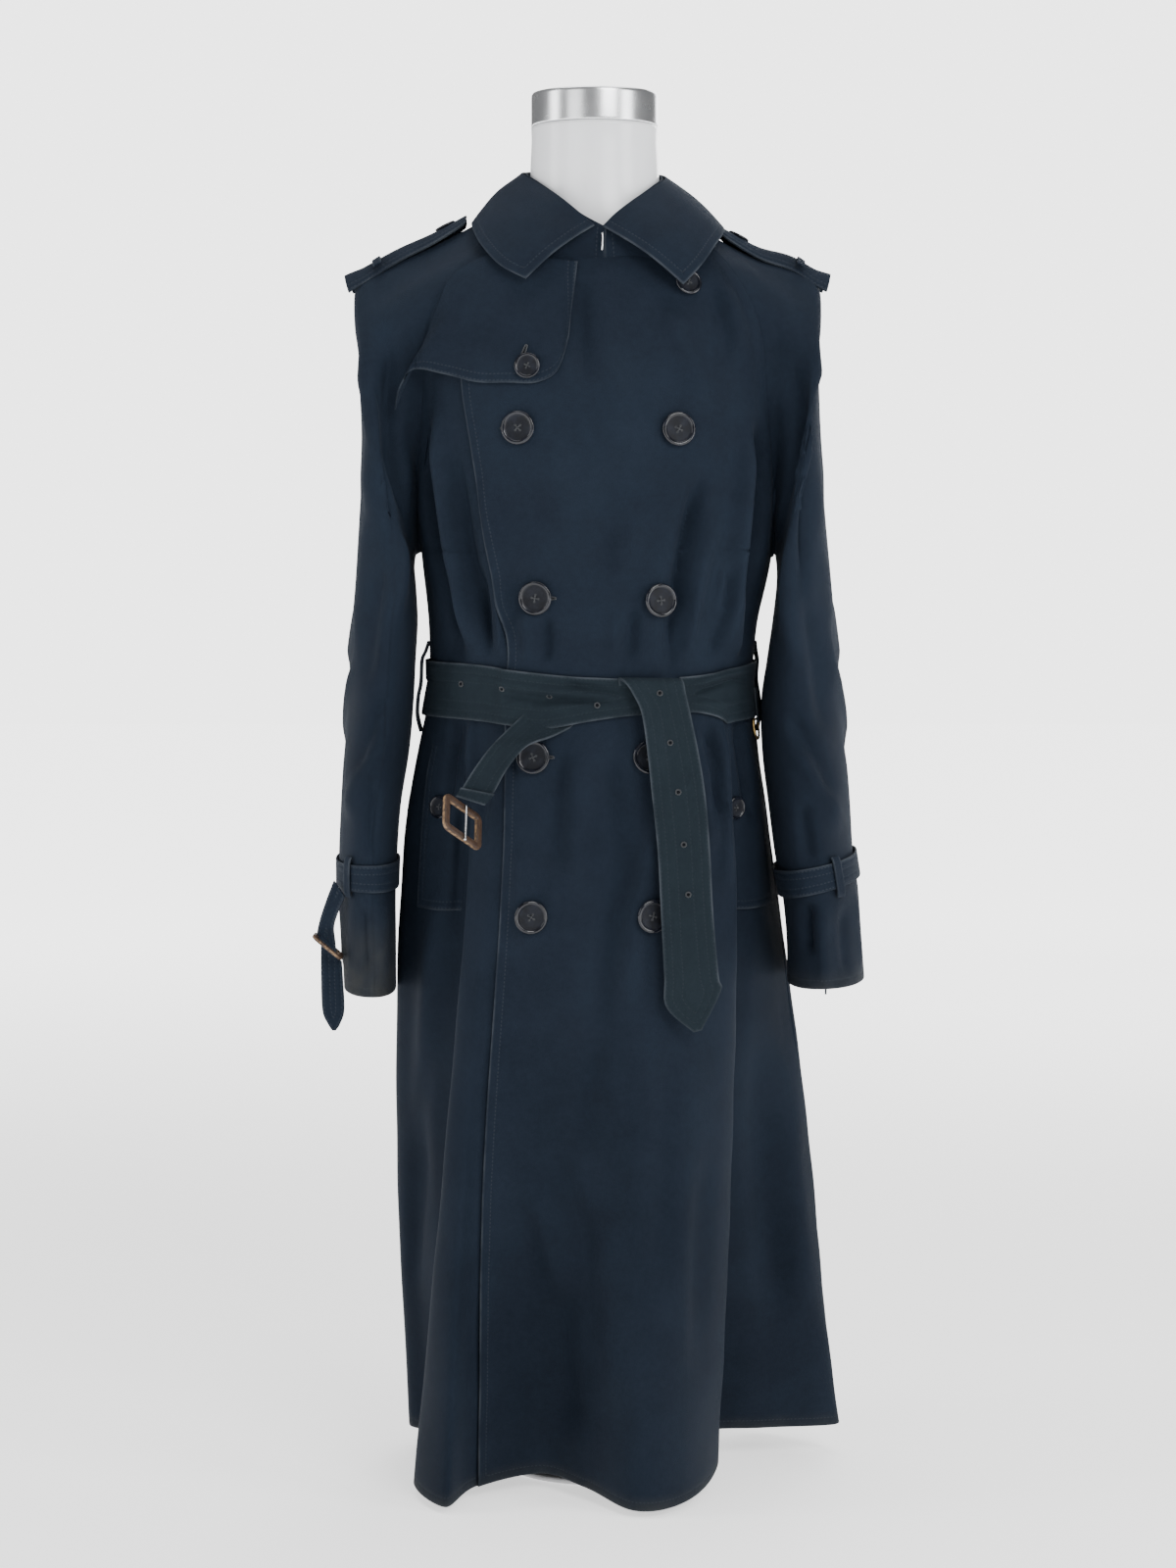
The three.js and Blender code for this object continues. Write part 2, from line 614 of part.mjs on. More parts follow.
// Gun flap on the wearer's right shoulder: lower edge x z lift, upper edge x z, in steps across.
const FLAP = [
  [-171, 988, 9, -129, 1098],
  [-164, 1008, 13, -119, 1107],
  [-151, 1023, 15, -107, 1114],
  [-130, 1018, 10, -93, 1120],
  [-102, 1010, 7, -76, 1122],
  [-75, 1009, 6.4, -58, 1121],
  [-50, 1009, 6.4, -42, 1118],
  [-32, 1020, 6.4, -27, 1116],
  [-23, 1050, 6.4, -15, 1115],
];
function chest(x, z, lift) {
  const seam = read(RAGLAN, 1, z) - 2;
  const beyond = Math.max(0, Math.abs(x) - seam);
  const share = Math.min(Math.abs(x), seam) / read(TORSO, 2, z);
  const turn = sign(x) * Math.asin(Math.min(1, share) ** (1 / read(TORSO, 5, z))) / DEG;
  const round = torso(turn + 1, z).sub(torso(turn - 1, z));
  const normal = round.cross(torso(turn, z + 2).sub(torso(turn, z - 2))).normalize();
  return V(x, torso(turn, z).y - 0.5 * beyond, z).addScaledVector(normal, lift);
}
wall(
  'gun_flap',
  [0, 0.12, 0.3, 0.5, 0.75, 1].map((t) =>
    FLAP.map(([x, z, lift, topX, topZ]) => chest(mix(x, topX, t), mix(z, topZ, t), mix(lift, 6.4, smooth(t * 1.6)))),
  ),
  NAVY,
);

// Buttons: a rimmed disc with a dished face.
const BUTTON = [[10, 0], [14.4, 1.8], [15, 3.2], [13.4, 4.6], [11.6, 4.2], [10.4, 3]];
function button(name, at, normal, diameter) {
  const k = diameter / 30;
  const profile = BUTTON.map(([radius, height]) => [radius * k, height * Math.max(k, 0.75)]);
  turned(name, profile, 14, HORN, at, normal);
}
// name, x, height, diameter, height above the base surface
const BUTTONS = [
  ['button_1r', -67, 970, 30, LAP],
  ['button_1l', 73, 969, 30, LAP - 1],
  ['button_2r', -52, 821, 30, LAP],
  ['button_2l', 57, 819, 30, LAP],
  ['button_3r', -54, 681, 30, LAP],
  ['button_3l', 48, 681, 30, LAP],
  ['button_4r', -57, 540, 30, LAP],
  ['button_4l', 50, 542, 30, LAP],
];
for (const [name, x, z, diameter, lift] of BUTTONS) {
  const place = onFront(x, z, lift + SEAM + 0.1);
  button(name, place.at, place.normal, diameter);
}
button('collar_button', chest(82, 1098, LAP - 1.4), V(0.3, -0.88, 0.36).normalize(), 24);
button('flap_button', chest(-59, 1024, 7.4), V(-0.12, -0.96, 0.25).normalize(), 23);

// Slanted pocket welts on the side of each front, each with its button.
// lines at the lower end, how far they shift by the upper end
const POCKETS = {
  right: [[-3.3, -3.6, -3.9, -4.2, -4.5, -4.8], 0.05],
  left: [[6.3, 6.65, 7, 7.35, 7.7, 8], -0.75],
};
for (const side of ['left', 'right']) {
  const [lines, slant] = POCKETS[side];
  const over = (q) => (side === 'left' ? overLift(q) : 0);
  const place = (q, z, lift) => coat(q, z).addScaledVector(coatNormal(q, z), lift + over(q) - (side === 'right' ? 1.1 : 0));
  const grid = [538, 580, 622, 664, 704].map((z, r) => lines.map((q) => place(q + (slant * r) / 4, z, 4.4)));
  wall(`pocket_${side}`, grid, NAVY);
  const q = side === 'left' ? 7.1 : -4.25;
  button(`pocket_button_${side}`, place(q, 632, side === 'left' ? 4.4 : 5.2), coatNormal(q, 632), 21);
}

// Belt round the waist, knotted in front. Its middle line drops a little toward the knot.
const BELT_HALF = 25;
const beltMiddle = (q) => {
  const turn = Math.abs((((q - 3 + 13) % 26) + 26) % 26 - 13);
  return 738 - 11 * Math.exp(-((turn / 3.2) ** 2));
};
const beltLines = [];
for (let q = 4.1; q < 4 + FOLDS - 1; q += 0.5) beltLines.push(q);
const BELT_LIFT = 3.8;
const beltPoint = (q, z, more = 0) => {
  const line = q % FOLDS;
  const lift = overLift(line) * smooth((line + 0.6) / 0.6) + (line > 25.4 ? LAP * smooth((line - 25.4) / 0.6) : 0);
  return coat(q, z).addScaledVector(coatNormal(q, z), lift + BELT_LIFT + more);
};
wall('belt', [-1, -0.4, 0.4, 1].map((k) => beltLines.map((q) => beltPoint(q, beltMiddle(q) + k * BELT_HALF))), BELT_CLOTH);

// Free end of the belt: over the top of the knot, then down in front of the skirt.
// height, left x, right x, y
const TAIL = [
  [748, 22, 70, -120.6],
  [757, 22, 72, -125.6],
  [753, 24, 75, -131.5],
  [738, 33, 80, -134],
  [720, 41, 84, -138],
  [686, 46, 91, -144],
  [648, 50, 97, -146.5],
  [600, 55, 101, -147.5],
  [545, 58, 104, -148],
  [490, 61, 109, -148],
];
const across = (left, right) => [0, 1 / 3, 2 / 3, 1].map((k) => left.clone().lerp(right, k));
wall(
  'belt_tail',
  [
    ...TAIL.map(([z, left, right, y]) => across(V(left, y, z), V(right, y, z))),
    across(V(63, -148, 462), V(111, -148, 477)),
    across(V(87, -148, 440), V(94, -148, 442)),
  ],
  BELT_CLOTH,
  { inside: (r) => V(60, -110, r < 3 ? 744 : 600) },
);

// End with the buckle: out from under the knot, then down across the over front.
// left edge x y z, right edge x y z
const BELT_END = [
  [-50, -129.8, 730, -8, -129.8, 722],
  [-64, -131, 716, -20, -131, 709],
  [-76, -135, 706, -36, -136, 702],
  [-92, -139, 691, -58, -139, 693],
  [-106, -141, 672, -76, -141, 673],
  [-116, -142, 656, -88, -142, 652],
  [-121, -142, 647, -98, -142, 640],
];
wall(
  'belt_end',
  BELT_END.map(([lx, ly, lz, rx, ry, rz]) => across(V(lx, ly, lz), V(rx, ry, rz))),
  BELT_CLOTH,
  { inside: (r) => V(-60, -60, BELT_END[r][2]) },
);

// A flat frame with rounded corners and one opening, set in space by two directions.
function frame(name, at, sideways, along, width, height, band, thick, material) {
  const outline = (w, h, r, Shape) => {
    const shape = new Shape();
    shape.moveTo(-w / 2 + r, -h / 2);
    for (const [x, y, a] of [[w / 2 - r, -h / 2 + r, -90], [w / 2 - r, h / 2 - r, 0], [-w / 2 + r, h / 2 - r, 90], [-w / 2 + r, -h / 2 + r, 180]]) {
      shape.absarc(x, y, r, a * DEG, (a + 90) * DEG, false);
    }
    return shape;
  };
  const shape = outline(width, height, 5, THREE.Shape);
  const hole = outline(width - 2 * band, height - 2 * band, 2, THREE.Path);
  shape.holes.push(hole);
  const geometry = new THREE.ExtrudeGeometry(shape, { depth: thick, bevelEnabled: false, curveSegments: 3 });
  geometry.translate(0, 0, -thick / 2);
  const normal = sideways.clone().cross(along).normalize();
  geometry.applyMatrix4(new THREE.Matrix4().makeBasis(sideways, along, normal).setPosition(at));
  const mesh = new THREE.Mesh(geometry, material);
  mesh.name = name;
  model.add(mesh);
  return mesh;
}

// Leather-covered buckle, turned away at the end of the belt, and its metal prong.
const BUCKLE_AT = V(-116, -150, 626.2);
const WIDE = V(0.62, 0.6, -0.5).normalize();
const LONG = V(0, 0.64, 0.77).addScaledVector(WIDE, -V(0, 0.64, 0.77).dot(WIDE)).normalize();
const FACE = LONG.clone().cross(WIDE).normalize();
frame('belt_buckle', BUCKLE_AT, WIDE, LONG, 50, 38, 7, 5, LEATHER);
const prongAt = (along, out) => BUCKLE_AT.clone().addScaledVector(LONG, along).addScaledVector(FACE, -out);
bar('belt_prong', [prongAt(16, 4.2), prongAt(8, 4.5), prongAt(-8, 4.4), prongAt(-21, 4)], 1.2, 6, STEEL);
wall(
  'belt_keeper',
  [across(V(-117.5, -145, 656), V(-87.5, -145, 650)), across(V(-122, -145, 648), V(-96.5, -145, 640))],
  BELT_CLOTH,
  { thick: 2.6, inside: () => V(-100, -60, 650) },
);

// Narrow loops that hold the belt at the sides: height, share of how far they stand out.
const LOOP = [
  [780, 0],
  [771, 0.35],
  [762, 0.75],
  [745, 0.95],
  [727, 1],
  [712, 0.78],
  [703, 0.4],
  [696, 0],
];
for (const [side, line, out] of [['left', 8.7, 5.8], ['right', -6.4, 9]]) {
  const grid = LOOP.map(([z, lift]) =>
    [-0.16, 0, 0.16].map((k) => {
      const q = line + k;
      return coat(q, z).addScaledVector(coatNormal(q, z), 2 + lift * out);
    }),
  );
  wall(`belt_loop_${side}`, grid, NAVY, { thick: 1.4 });
}

// Brass D-ring in a cloth tab on the belt, at the wearer's left.
const RING_LINE = 7.78;
const ringAt = (q, z, lift) => coat(q, z).addScaledVector(coatNormal(q, z), lift);
wall(
  'ring_tab',
  [[738, 6], [726, 6], [714, 6.2], [706, 6.6]].map(([z, lift]) => [-0.2, 0, 0.2].map((k) => ringAt(RING_LINE + k, z, lift))),
  BELT_CLOTH,
  { thick: 1.6 },
);
bar(
  'd_ring',
  [[-0.38, 709, 3.1], [0, 709, 3.1], [0.38, 709, 3.1], [0.4, 702, 3.2], [0.3, 695, 3.4], [0, 691, 3.6], [-0.3, 695, 3.4], [-0.4, 702, 3.2]].map(([k, z, lift]) =>
    ringAt(RING_LINE + k, z, lift),
  ),
  1.1,
  6,
  BRASS,
  true,
);

// Cuff straps, buckled, with their loops.
for (const side of ['left', 'right']) {
  const round = Array.from({ length: ROUND }, (_, c) => c);
  const lifted = (r, c, lift) => onSleeve(side, r, c).addScaledVector(sleeveNormal(side, r, c), lift);
  const middle = (r) => round.reduce((sum, c) => sum.add(onSleeve(side, r, c)), V(0, 0, 0)).divideScalar(ROUND);
  wall(`cuff_strap_${side}`, [12.1, 12.45, 12.8].map((r) => round.map((c) => lifted(r, c, 2.9))), NAVY, {
    round: true,
    thick: 1.9,
    inside: (r) => middle(12.1 + 0.35 * r),
  });
  wall(`cuff_loop_${side}`, [[11.92, 3.4], [12.1, 5.4], [12.8, 5.4], [12.98, 3.4]].map(([r, lift]) => [6, 6.3, 6.6].map((c) => lifted(r, c, lift))), NAVY, {
    thick: 1.5,
    inside: (r) => middle(12.1 + 0.2 * r),
  });
}
// The wearer's right strap hangs loose from its loop to the buckle, and its end hangs from that.
// left edge x y z, right edge x y z
const DROP = [
  [-235.4, -68, 566, -225.2, -74.8, 552],
  [-242, -68, 549, -231, -72, 539],
  [-248, -64, 532, -236, -68, 523],
  [-251, -61, 523, -236, -63, 511],
];
const strip = (rows) => rows.map(([lx, ly, lz, rx, ry, rz]) => across(V(lx, ly, lz), V(rx, ry, rz)));
wall('cuff_drop_right', strip(DROP), NAVY, { thick: 1.8, inside: () => V(-200, 20, 540) });
frame('cuff_buckle_right', V(-241.5, -60, 505), V(0.77, 0, -0.64), V(0, 1, 0), 34, 28, 5, 3.6, LEATHER);
const RIGHT_TAIL = [
  [-248, -60, 505.4, -229, -60, 491.4],
  [-248, -61, 480, -228, -61, 474],
  [-247, -61, 447, -227, -61, 447],
  [-242, -61, 434, -231, -61, 434],
  [-238, -61, 428, -235, -61, 428],
];
wall('cuff_tail_right', strip(RIGHT_TAIL), NAVY, { thick: 1.8, inside: () => V(-240, 20, 470) });
// The wearer's left strap is buckled behind the cuff.
const LEFT_TAIL = [
  [219, 72, 554.6, 222, 90, 551],
  [220, 74, 520, 223, 93, 518],
  [220, 75, 470, 223, 94, 468],
  [221, 79, 450, 222, 91, 449],
  [221.5, 84, 440, 221.7, 87, 440],
];
wall('cuff_tail_left', strip(LEFT_TAIL), NAVY, { thick: 1.8, inside: () => V(0, 80, 500) });
frame('cuff_buckle_left', V(214, 71.5, 572), V(1, 0.05, 0).normalize(), V(0, 0, 1), 28, 34, 5, 3.2, LEATHER);

// Dress form, without limbs: height, half width, depth in front, depth behind, squareness
const FORM = [
  [560, 128, 90, 86, 0.9],
  [600, 136, 96, 92, 0.88],
  [660, 135, 97, 92, 0.87],
  [744, 126, 96, 90, 0.86],
  [800, 134, 104, 96, 0.86],
  [860, 146, 110, 104, 0.86],
  [950, 154, 112, 106, 0.86],
  [1000, 162, 108, 106, 0.86],
  [1050, 170, 98, 102, 0.86],
  [1085, 177, 87, 96, 0.86],
  [1110, 150, 80, 90, 0.87],
  [1135, 106, 72, 79, 0.92],
  [1160, 74.5, 63, 68, 0.96],
  [1178, 61.6, 60, 60, 1],
  [1198, 58.7, 58.7, 58.7, 1],
  [1215, 57.9, 57.9, 57.9, 1],
  [1232, 57.1, 57.1, 57.1, 1],
  [1244.7, 57.4, 57.4, 57.4, 1],
];
const FORM_ROWS = [560, 600, 660, 744, 800, 860, 950, 1000, 1050, 1085, 1098, 1110, 1122, 1135, 1147, 1160, 1168, 1178, 1198, 1215, 1232, 1244.7];
rings(
  'form_body',
  FORM_ROWS.map((z) =>
    Array.from({ length: 28 }, (_, k) => {
      const a = (k / 28) * 2 * Math.PI;
      const p = read(FORM, 4, z);
      const c = power(Math.cos(a), p);
      return V(power(Math.sin(a), p) * read(FORM, 1, z), -c * read(FORM, c > 0 ? 2 : 3, z), z);
    }),
  ),
  IVORY,
);
turned('neck_cap', [[57, 0], [57.4, 2], [57.4, 27], [56.4, 29.6]], 32, CHROME, V(0, 0, 1245), V(0, 0, 1));
turned('form_pole', [[13, 0], [13, 554.4]], 20, IRON, V(0, 25, 5.3), V(0, 0, 1));
turned('form_base', [[90, 0], [90, 4], [89, 5]], 36, IRON, V(0, 50, 0), V(0, 0, 1));

export default model;
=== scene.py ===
# A belted double-breasted raglan trench coat on a dress form without limbs.
# Sizes are in millimetres in the tables and helpers, and in metres in the finished meshes.
# The front faces -Y and the wearer's left is +X, so "left" and "right" are the wearer's.
import math

import bmesh
import bpy
import numpy as np
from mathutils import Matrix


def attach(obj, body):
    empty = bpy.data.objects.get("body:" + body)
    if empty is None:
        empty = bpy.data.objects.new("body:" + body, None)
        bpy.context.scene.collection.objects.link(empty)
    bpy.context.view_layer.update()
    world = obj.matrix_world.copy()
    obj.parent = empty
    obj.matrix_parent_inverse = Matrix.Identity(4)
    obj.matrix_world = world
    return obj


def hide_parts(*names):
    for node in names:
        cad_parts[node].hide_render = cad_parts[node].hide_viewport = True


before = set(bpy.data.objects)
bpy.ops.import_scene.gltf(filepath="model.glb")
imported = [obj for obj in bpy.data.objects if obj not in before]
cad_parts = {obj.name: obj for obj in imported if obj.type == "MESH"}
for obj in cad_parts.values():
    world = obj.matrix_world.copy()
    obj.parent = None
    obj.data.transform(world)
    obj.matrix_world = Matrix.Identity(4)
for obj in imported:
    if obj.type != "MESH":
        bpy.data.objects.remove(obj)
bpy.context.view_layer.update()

# The dress form is a hollow moulded shell of milky plastic with a long neck and no limbs.
# Its upper part carries the coat, and only its neck shows between the collar's leaves.
MM = 0.001
TAU = 2 * math.pi
# points of a mesh closer than this, in metres, are one
WELD = 1e-7


def smooth(t):
    """Rises softly from 0 to 1 as t does."""
    t = np.clip(t, 0, 1)
    return t * t * (3 - 2 * t)


def power(v, p):
    return np.sign(v) * np.abs(v) ** p


def unit(v):
    v = np.asarray(v, float)
    return v / np.linalg.norm(v, axis=-1, keepdims=True)


def slopes(x, v):
    """Slopes, at each value, of a smooth curve through values at rising places."""
    found = np.empty_like(v)
    found[..., 1:-1] = (v[..., 2:] - v[..., :-2]) / (x[..., 2:] - x[..., :-2])
    found[..., 0] = (v[..., 1] - v[..., 0]) / (x[..., 1] - x[..., 0])
    found[..., -1] = (v[..., -1] - v[..., -2]) / (x[..., -1] - x[..., -2])
    return found


def cubic(t, step, start, end, start_slope, end_slope):
    """Curve between two values a step apart, as t goes from 0 to 1."""
    return (
        start * (2 * t**3 - 3 * t**2 + 1)
        + end * (3 * t**2 - 2 * t**3)
        + step * start_slope * (t**3 - 2 * t**2 + t)
        + step * end_slope * (t**3 - t**2)
    )


def read(table, column, at):
    """Smooth curve through a table's rows, which rise in their first column."""
    rows = np.asarray(table, float)
    x, v = rows[:, 0], rows[:, column]
    at = np.asarray(at, float)
    slope = slopes(x, v)
    i = np.clip(np.searchsorted(x, at, "left") - 1, 0, len(x) - 2)
    h = x[i + 1] - x[i]
    t = np.clip((at - x[i]) / h, 0, 1)
    inside = cubic(t, h, v[i], v[i + 1], slope[i], slope[i + 1])
    below = np.minimum(at - x[0], 0) * slope[0]
    above = np.maximum(at - x[-1], 0) * slope[-1]
    return inside + below + above


def through(a, b, c, d, t):
    """Between b and c, on the smooth curve through four values that follow each other."""
    linear = 2 * b + (c - a) * t
    return 0.5 * (linear + (2 * a - 5 * b + 4 * c - d) * t**2 + (3 * b - a - 3 * c + d) * t**3)


def resample(points, at, axis, closed=False):
    """A grid of points read at fractional places along one axis."""
    points = np.moveaxis(np.asarray(points, float), axis, 0)
    n = len(points)
    at = np.asarray(at, float)
    i = np.floor(at).astype(int)
    if not closed:
        i = np.minimum(i, n - 2)
    t = (at - i).reshape((-1,) + (1,) * (points.ndim - 1))
    picked = [(i + k) % n if closed else np.clip(i + k, 0, n - 1) for k in (-1, 0, 1, 2)]
    return np.moveaxis(through(*(points[k] for k in picked), t), 0, axis)


def refine(points, rows, cols, closed=False):
    """A fine grid of the given size on the smooth surface through a coarse grid of points."""
    points = np.asarray(points, float)
    last = points.shape[1] if closed else points.shape[1] - 1
    fine = resample(points, np.linspace(0, len(points) - 1, rows), 0)
    return resample(fine, np.linspace(0, last, cols), 1, closed)


def lengths(grid, axis):
    """Distance along the grid from its first row (axis 0) or column (axis 1)."""
    total = np.cumsum(np.linalg.norm(np.diff(grid, axis=axis), axis=2), axis=axis)
    first = np.zeros_like(np.take(total, [0], axis=axis))
    return np.concatenate([first, total], axis=axis)


def facing(grid):
    """Unit vectors square to a grid, pointing to the side its faces look to."""
    down = np.gradient(grid, axis=0)
    across = np.gradient(grid, axis=1)
    out = np.cross(down, across)
    return out / np.maximum(np.linalg.norm(out, axis=2, keepdims=True), 1e-9)


def outward(grid, inside):
    """The grid, with its columns in the order that makes its faces look away from a point."""
    away = np.sum(facing(grid) * (grid - np.asarray(inside, float)), axis=2).mean()
    return grid if away > 0 else grid[:, ::-1]


def meshed(name, bm):
    mesh = bpy.data.meshes.new(name)
    bm.to_mesh(mesh)
    bm.free()
    return mesh


def linked(name, data):
    """An object in the scene that holds a mesh, a lamp or a camera."""
    obj = bpy.data.objects.new(name, data)
    bpy.context.scene.collection.objects.link(obj)
    return obj


def painted(mesh, name, values):
    """Gives each point of a mesh a number, which its material reads."""
    layer = mesh.attributes.new(name, "FLOAT", "POINT")
    layer.data.foreach_set("value", values.astype(np.float32))


def skin(name, grid, values=None, caps=False):
    """A mesh over a grid of points: rows run down it and columns across it."""
    rows, cols = grid.shape[:2]
    bm = bmesh.new()
    bmesh.ops.create_grid(bm, x_segments=cols - 1, y_segments=rows - 1, size=1)
    mesh = meshed(name, bm)
    flat = np.empty(len(mesh.vertices) * 3)
    mesh.vertices.foreach_get("co", flat)
    flat = flat.reshape(-1, 3)
    col = np.rint((flat[:, 0] + 1) / 2 * (cols - 1)).astype(int)
    row = np.rint((1 - flat[:, 1]) / 2 * (rows - 1)).astype(int)
    mesh.vertices.foreach_set("co", (grid[row, col] * MM).ravel())
    for key, value in (values or {}).items():
        painted(mesh, key, value[row, col])
    corner = np.empty(len(mesh.loops), np.int32)
    mesh.loops.foreach_get("vertex_index", corner)
    run = np.stack([lengths(grid, 1)[row, col], lengths(grid, 0)[row, col]], 1)[corner] * MM
    mesh.uv_layers.new(name="cloth").data.foreach_set("uv", run.astype(np.float32).ravel())
    bm = bmesh.new()
    bm.from_mesh(mesh)
    bmesh.ops.remove_doubles(bm, verts=bm.verts, dist=WELD)
    if caps:
        bmesh.ops.holes_fill(bm, edges=[e for e in bm.edges if e.is_boundary])
        bmesh.ops.recalc_face_normals(bm, faces=bm.faces)
    bm.to_mesh(mesh)
    bm.free()
    mesh.shade_smooth()
    return linked(name, mesh)


def placed(obj, node, finish, body="coat"):
    """Fixes a finished piece to its body, in place of its CAD node if it has one."""
    obj.data.materials.clear()
    obj.data.materials.append(finish)
    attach(obj, body)
    if node:
        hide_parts(node)
    return obj


class Number:
    """A number that varies over a surface. Python's operators add its Math nodes."""

    def __init__(self, finish, socket):
        self.finish = finish
        self.socket = socket

    def math(self, operation, *others, first=None):
        values = dict(enumerate(([self] if first is None else [first, self]) + list(others)))
        return self.finish.node("Math", {"operation": operation}, values)

    def __add__(self, other):
        return self.math("ADD", other)

    __radd__ = __add__

    def __sub__(self, other):
        return self.math("SUBTRACT", other)

    def __rsub__(self, other):
        return self.math("SUBTRACT", first=other)

    def __mul__(self, other):
        return self.math("MULTIPLY", other)

    __rmul__ = __mul__

    def __truediv__(self, other):
        return self.math("DIVIDE", other)

    def wave(self):
        return self.math("SINE")

    def bump_at(self, centre, width):
        """1 at the centre, falling softly to 0 a width away."""
        away = (self - centre).math("ABSOLUTE") / width
        return (1 - away).math("MAXIMUM", 0)

    def ramp(self, low, high):
        """0 below low and 1 above high, or the other way round, with a soft step between."""
        sockets = {"Value": self, "From Min": low, "From Max": high}
        return self.finish.node("MapRange", {"interpolation_type": "SMOOTHSTEP"}, sockets)


class Finish:
    """A material. node() adds any node: its type, its settings and the values of its sockets."""

    def __init__(self, name, **constants):
        self.material = bpy.data.materials.new(name)
        self.material.use_nodes = True
        self.tree = self.material.node_tree
        self.shader = self.tree.nodes["Principled BSDF"]
        for key, value in constants.items():
            self.set(self.shader.inputs[key.replace("_", " ")], value)

    def set(self, socket, value):
        if isinstance(value, Number):
            self.tree.links.new(value.socket, socket)
        elif isinstance(value, (tuple, list)) and socket.type == "RGBA" and len(value) == 3:
            socket.default_value = (*value, 1)
        else:
            socket.default_value = value

    def node(self, kind, settings=None, sockets=None, out=0):
        made = self.tree.nodes.new("ShaderNode" + kind)
        for key, value in (settings or {}).items():
            setattr(made, key, value)
        for key, value in (sockets or {}).items():
            self.set(made.inputs[key], value)
        return Number(self, made.outputs[out])

    def place(self):
        return self.node("TexCoord", out="Object")

    def noise(self, scale, detail):
        return self.node("TexNoise", None, {"Vector": self.place(), "Scale": scale, "Detail": detail})

    def value(self, name):
        return self.node("Attribute", {"attribute_name": name}, None, "Fac")

    def blend(self, share, first, second):
        """A colour between two."""
        return self.node("Mix", {"data_type": "RGBA"}, {"Factor": share, 6: first, 7: second}, 2)

    def colour(self, value):
        self.set(self.shader.inputs["Base Color"], value)

    def rough(self, value):
        self.set(self.shader.inputs["Roughness"], value)

    def relief(self, height, depth):
        """Raises the surface by height, a Number from 0 to 1, times depth in metres."""
        sockets = {"Height": height, "Distance": depth, "Strength": 1.0}
        self.set(self.shader.inputs["Normal"], self.node("Bump", None, sockets))


# height, half width, depth in front, depth behind, squareness
FORM = [
    [560, 128, 90, 86, 0.9],
    [600, 136, 96, 92, 0.88],
    [660, 135, 97, 92, 0.87],
    [744, 126, 96, 90, 0.86],
    [800, 132, 102, 95, 0.88],
    [860, 141, 106, 101, 0.9],
    [950, 147, 108, 103, 0.9],
    [1000, 157, 105, 103, 0.89],
    [1050, 170, 98, 102, 0.86],
    [1085, 177, 87, 96, 0.86],
    [1110, 150, 80, 90, 0.87],
    [1135, 106, 72, 79, 0.92],
    [1160, 74.5, 63, 68, 0.96],
    [1178, 61.6, 60, 60, 1],
    [1198, 58.7, 58.7, 58.7, 1],
    [1215, 57.9, 57.9, 57.9, 1],
    [1232, 57.1, 57.1, 57.1, 1],
    [1244.7, 57.4, 57.4, 57.4, 1],
]


def form_rings():
    z = np.concatenate([np.linspace(FORM[0][0], 1150, 90), np.linspace(1155, FORM[-1][0], 30)])[::-1, None]
    a = np.linspace(0, TAU, 97)[None, :]
    p = read(FORM, 4, z)
    c = power(np.cos(a), p)
    depth = np.where(c > 0, read(FORM, 2, z), read(FORM, 3, z))
    x = power(np.sin(a), p) * read(FORM, 1, z)
    return np.stack([x, -c * depth, np.broadcast_to(z, x.shape)], 2)


def milky_shell():
    finish = Finish("milky_shell", IOR=1.47, Coat_Weight=0.25, Coat_Roughness=0.12,
                    Subsurface_Weight=0.35, Subsurface_Scale=0.02, Subsurface_Radius=(1.0, 1.0, 1.0))
    cloud = finish.noise(9.0, 3)
    finish.colour(finish.blend(cloud.ramp(0.3, 0.7), (0.63, 0.64, 0.66), (0.72, 0.73, 0.745)))
    finish.rough(0.26 + 0.1 * finish.noise(40.0, 2))
    finish.relief(finish.noise(14.0, 2), 0.0006)
    return finish.material


placed(skin("form_shell", form_rings(), caps=True), "form_body", milky_shell())

# The neck cap is a spun steel cup with a small rolled rim, plated bright.
# It is pressed on the end of the neck, and closes it.
NECK_TOP = 1245
UP = (0, 0, 1)


def turned(name, profile, at, axis, steps=64):
    """A piece spun about an axis, from its [radius, height] profile."""
    axis = unit(axis)
    side = unit(np.cross((1, 0, 0) if abs(axis[2]) > 0.9 else UP, axis))
    bm = bmesh.new()
    points = [(np.asarray(at) + axis * h + side * r) * MM for r, h in profile]
    verts = [bm.verts.new(p) for p in points]
    edges = [bm.edges.new(pair) for pair in zip(verts, verts[1:])]
    bmesh.ops.spin(bm, geom=verts + edges, cent=np.asarray(at) * MM, axis=axis,
                   angle=TAU, steps=steps, use_merge=True)
    bmesh.ops.remove_doubles(bm, verts=bm.verts, dist=WELD)
    bmesh.ops.recalc_face_normals(bm, faces=bm.faces)
    mesh = meshed(name, bm)
    reach = np.array([np.linalg.norm(np.cross(np.array(v.co) / MM - at, axis)) for v in mesh.vertices])
    painted(mesh, "radius", reach / reach.max())
    mesh.shade_smooth()
    return linked(name, mesh)


def bright_plate():
    finish = Finish("bright_plate", Metallic=1.0)
    finish.colour(finish.blend(finish.noise(25.0, 3), (0.58, 0.59, 0.605), (0.66, 0.67, 0.685)))
    finish.rough(0.21 + 0.1 * finish.noise(60.0, 3))
    return finish.material


# profiles: radius and height, from the axis below to the axis above
CAP = [(0, 0), (56, 0), (57.2, 0.5), (57.4, 1.6), (57.3, 3), (57.3, 26), (57.1, 28), (56.2, 29.4),
       (54.5, 29.6), (30, 29.3), (0, 29.2)]
placed(turned("cap_shell", CAP, (0, 0, NECK_TOP), UP, 96), "neck_cap", bright_plate())

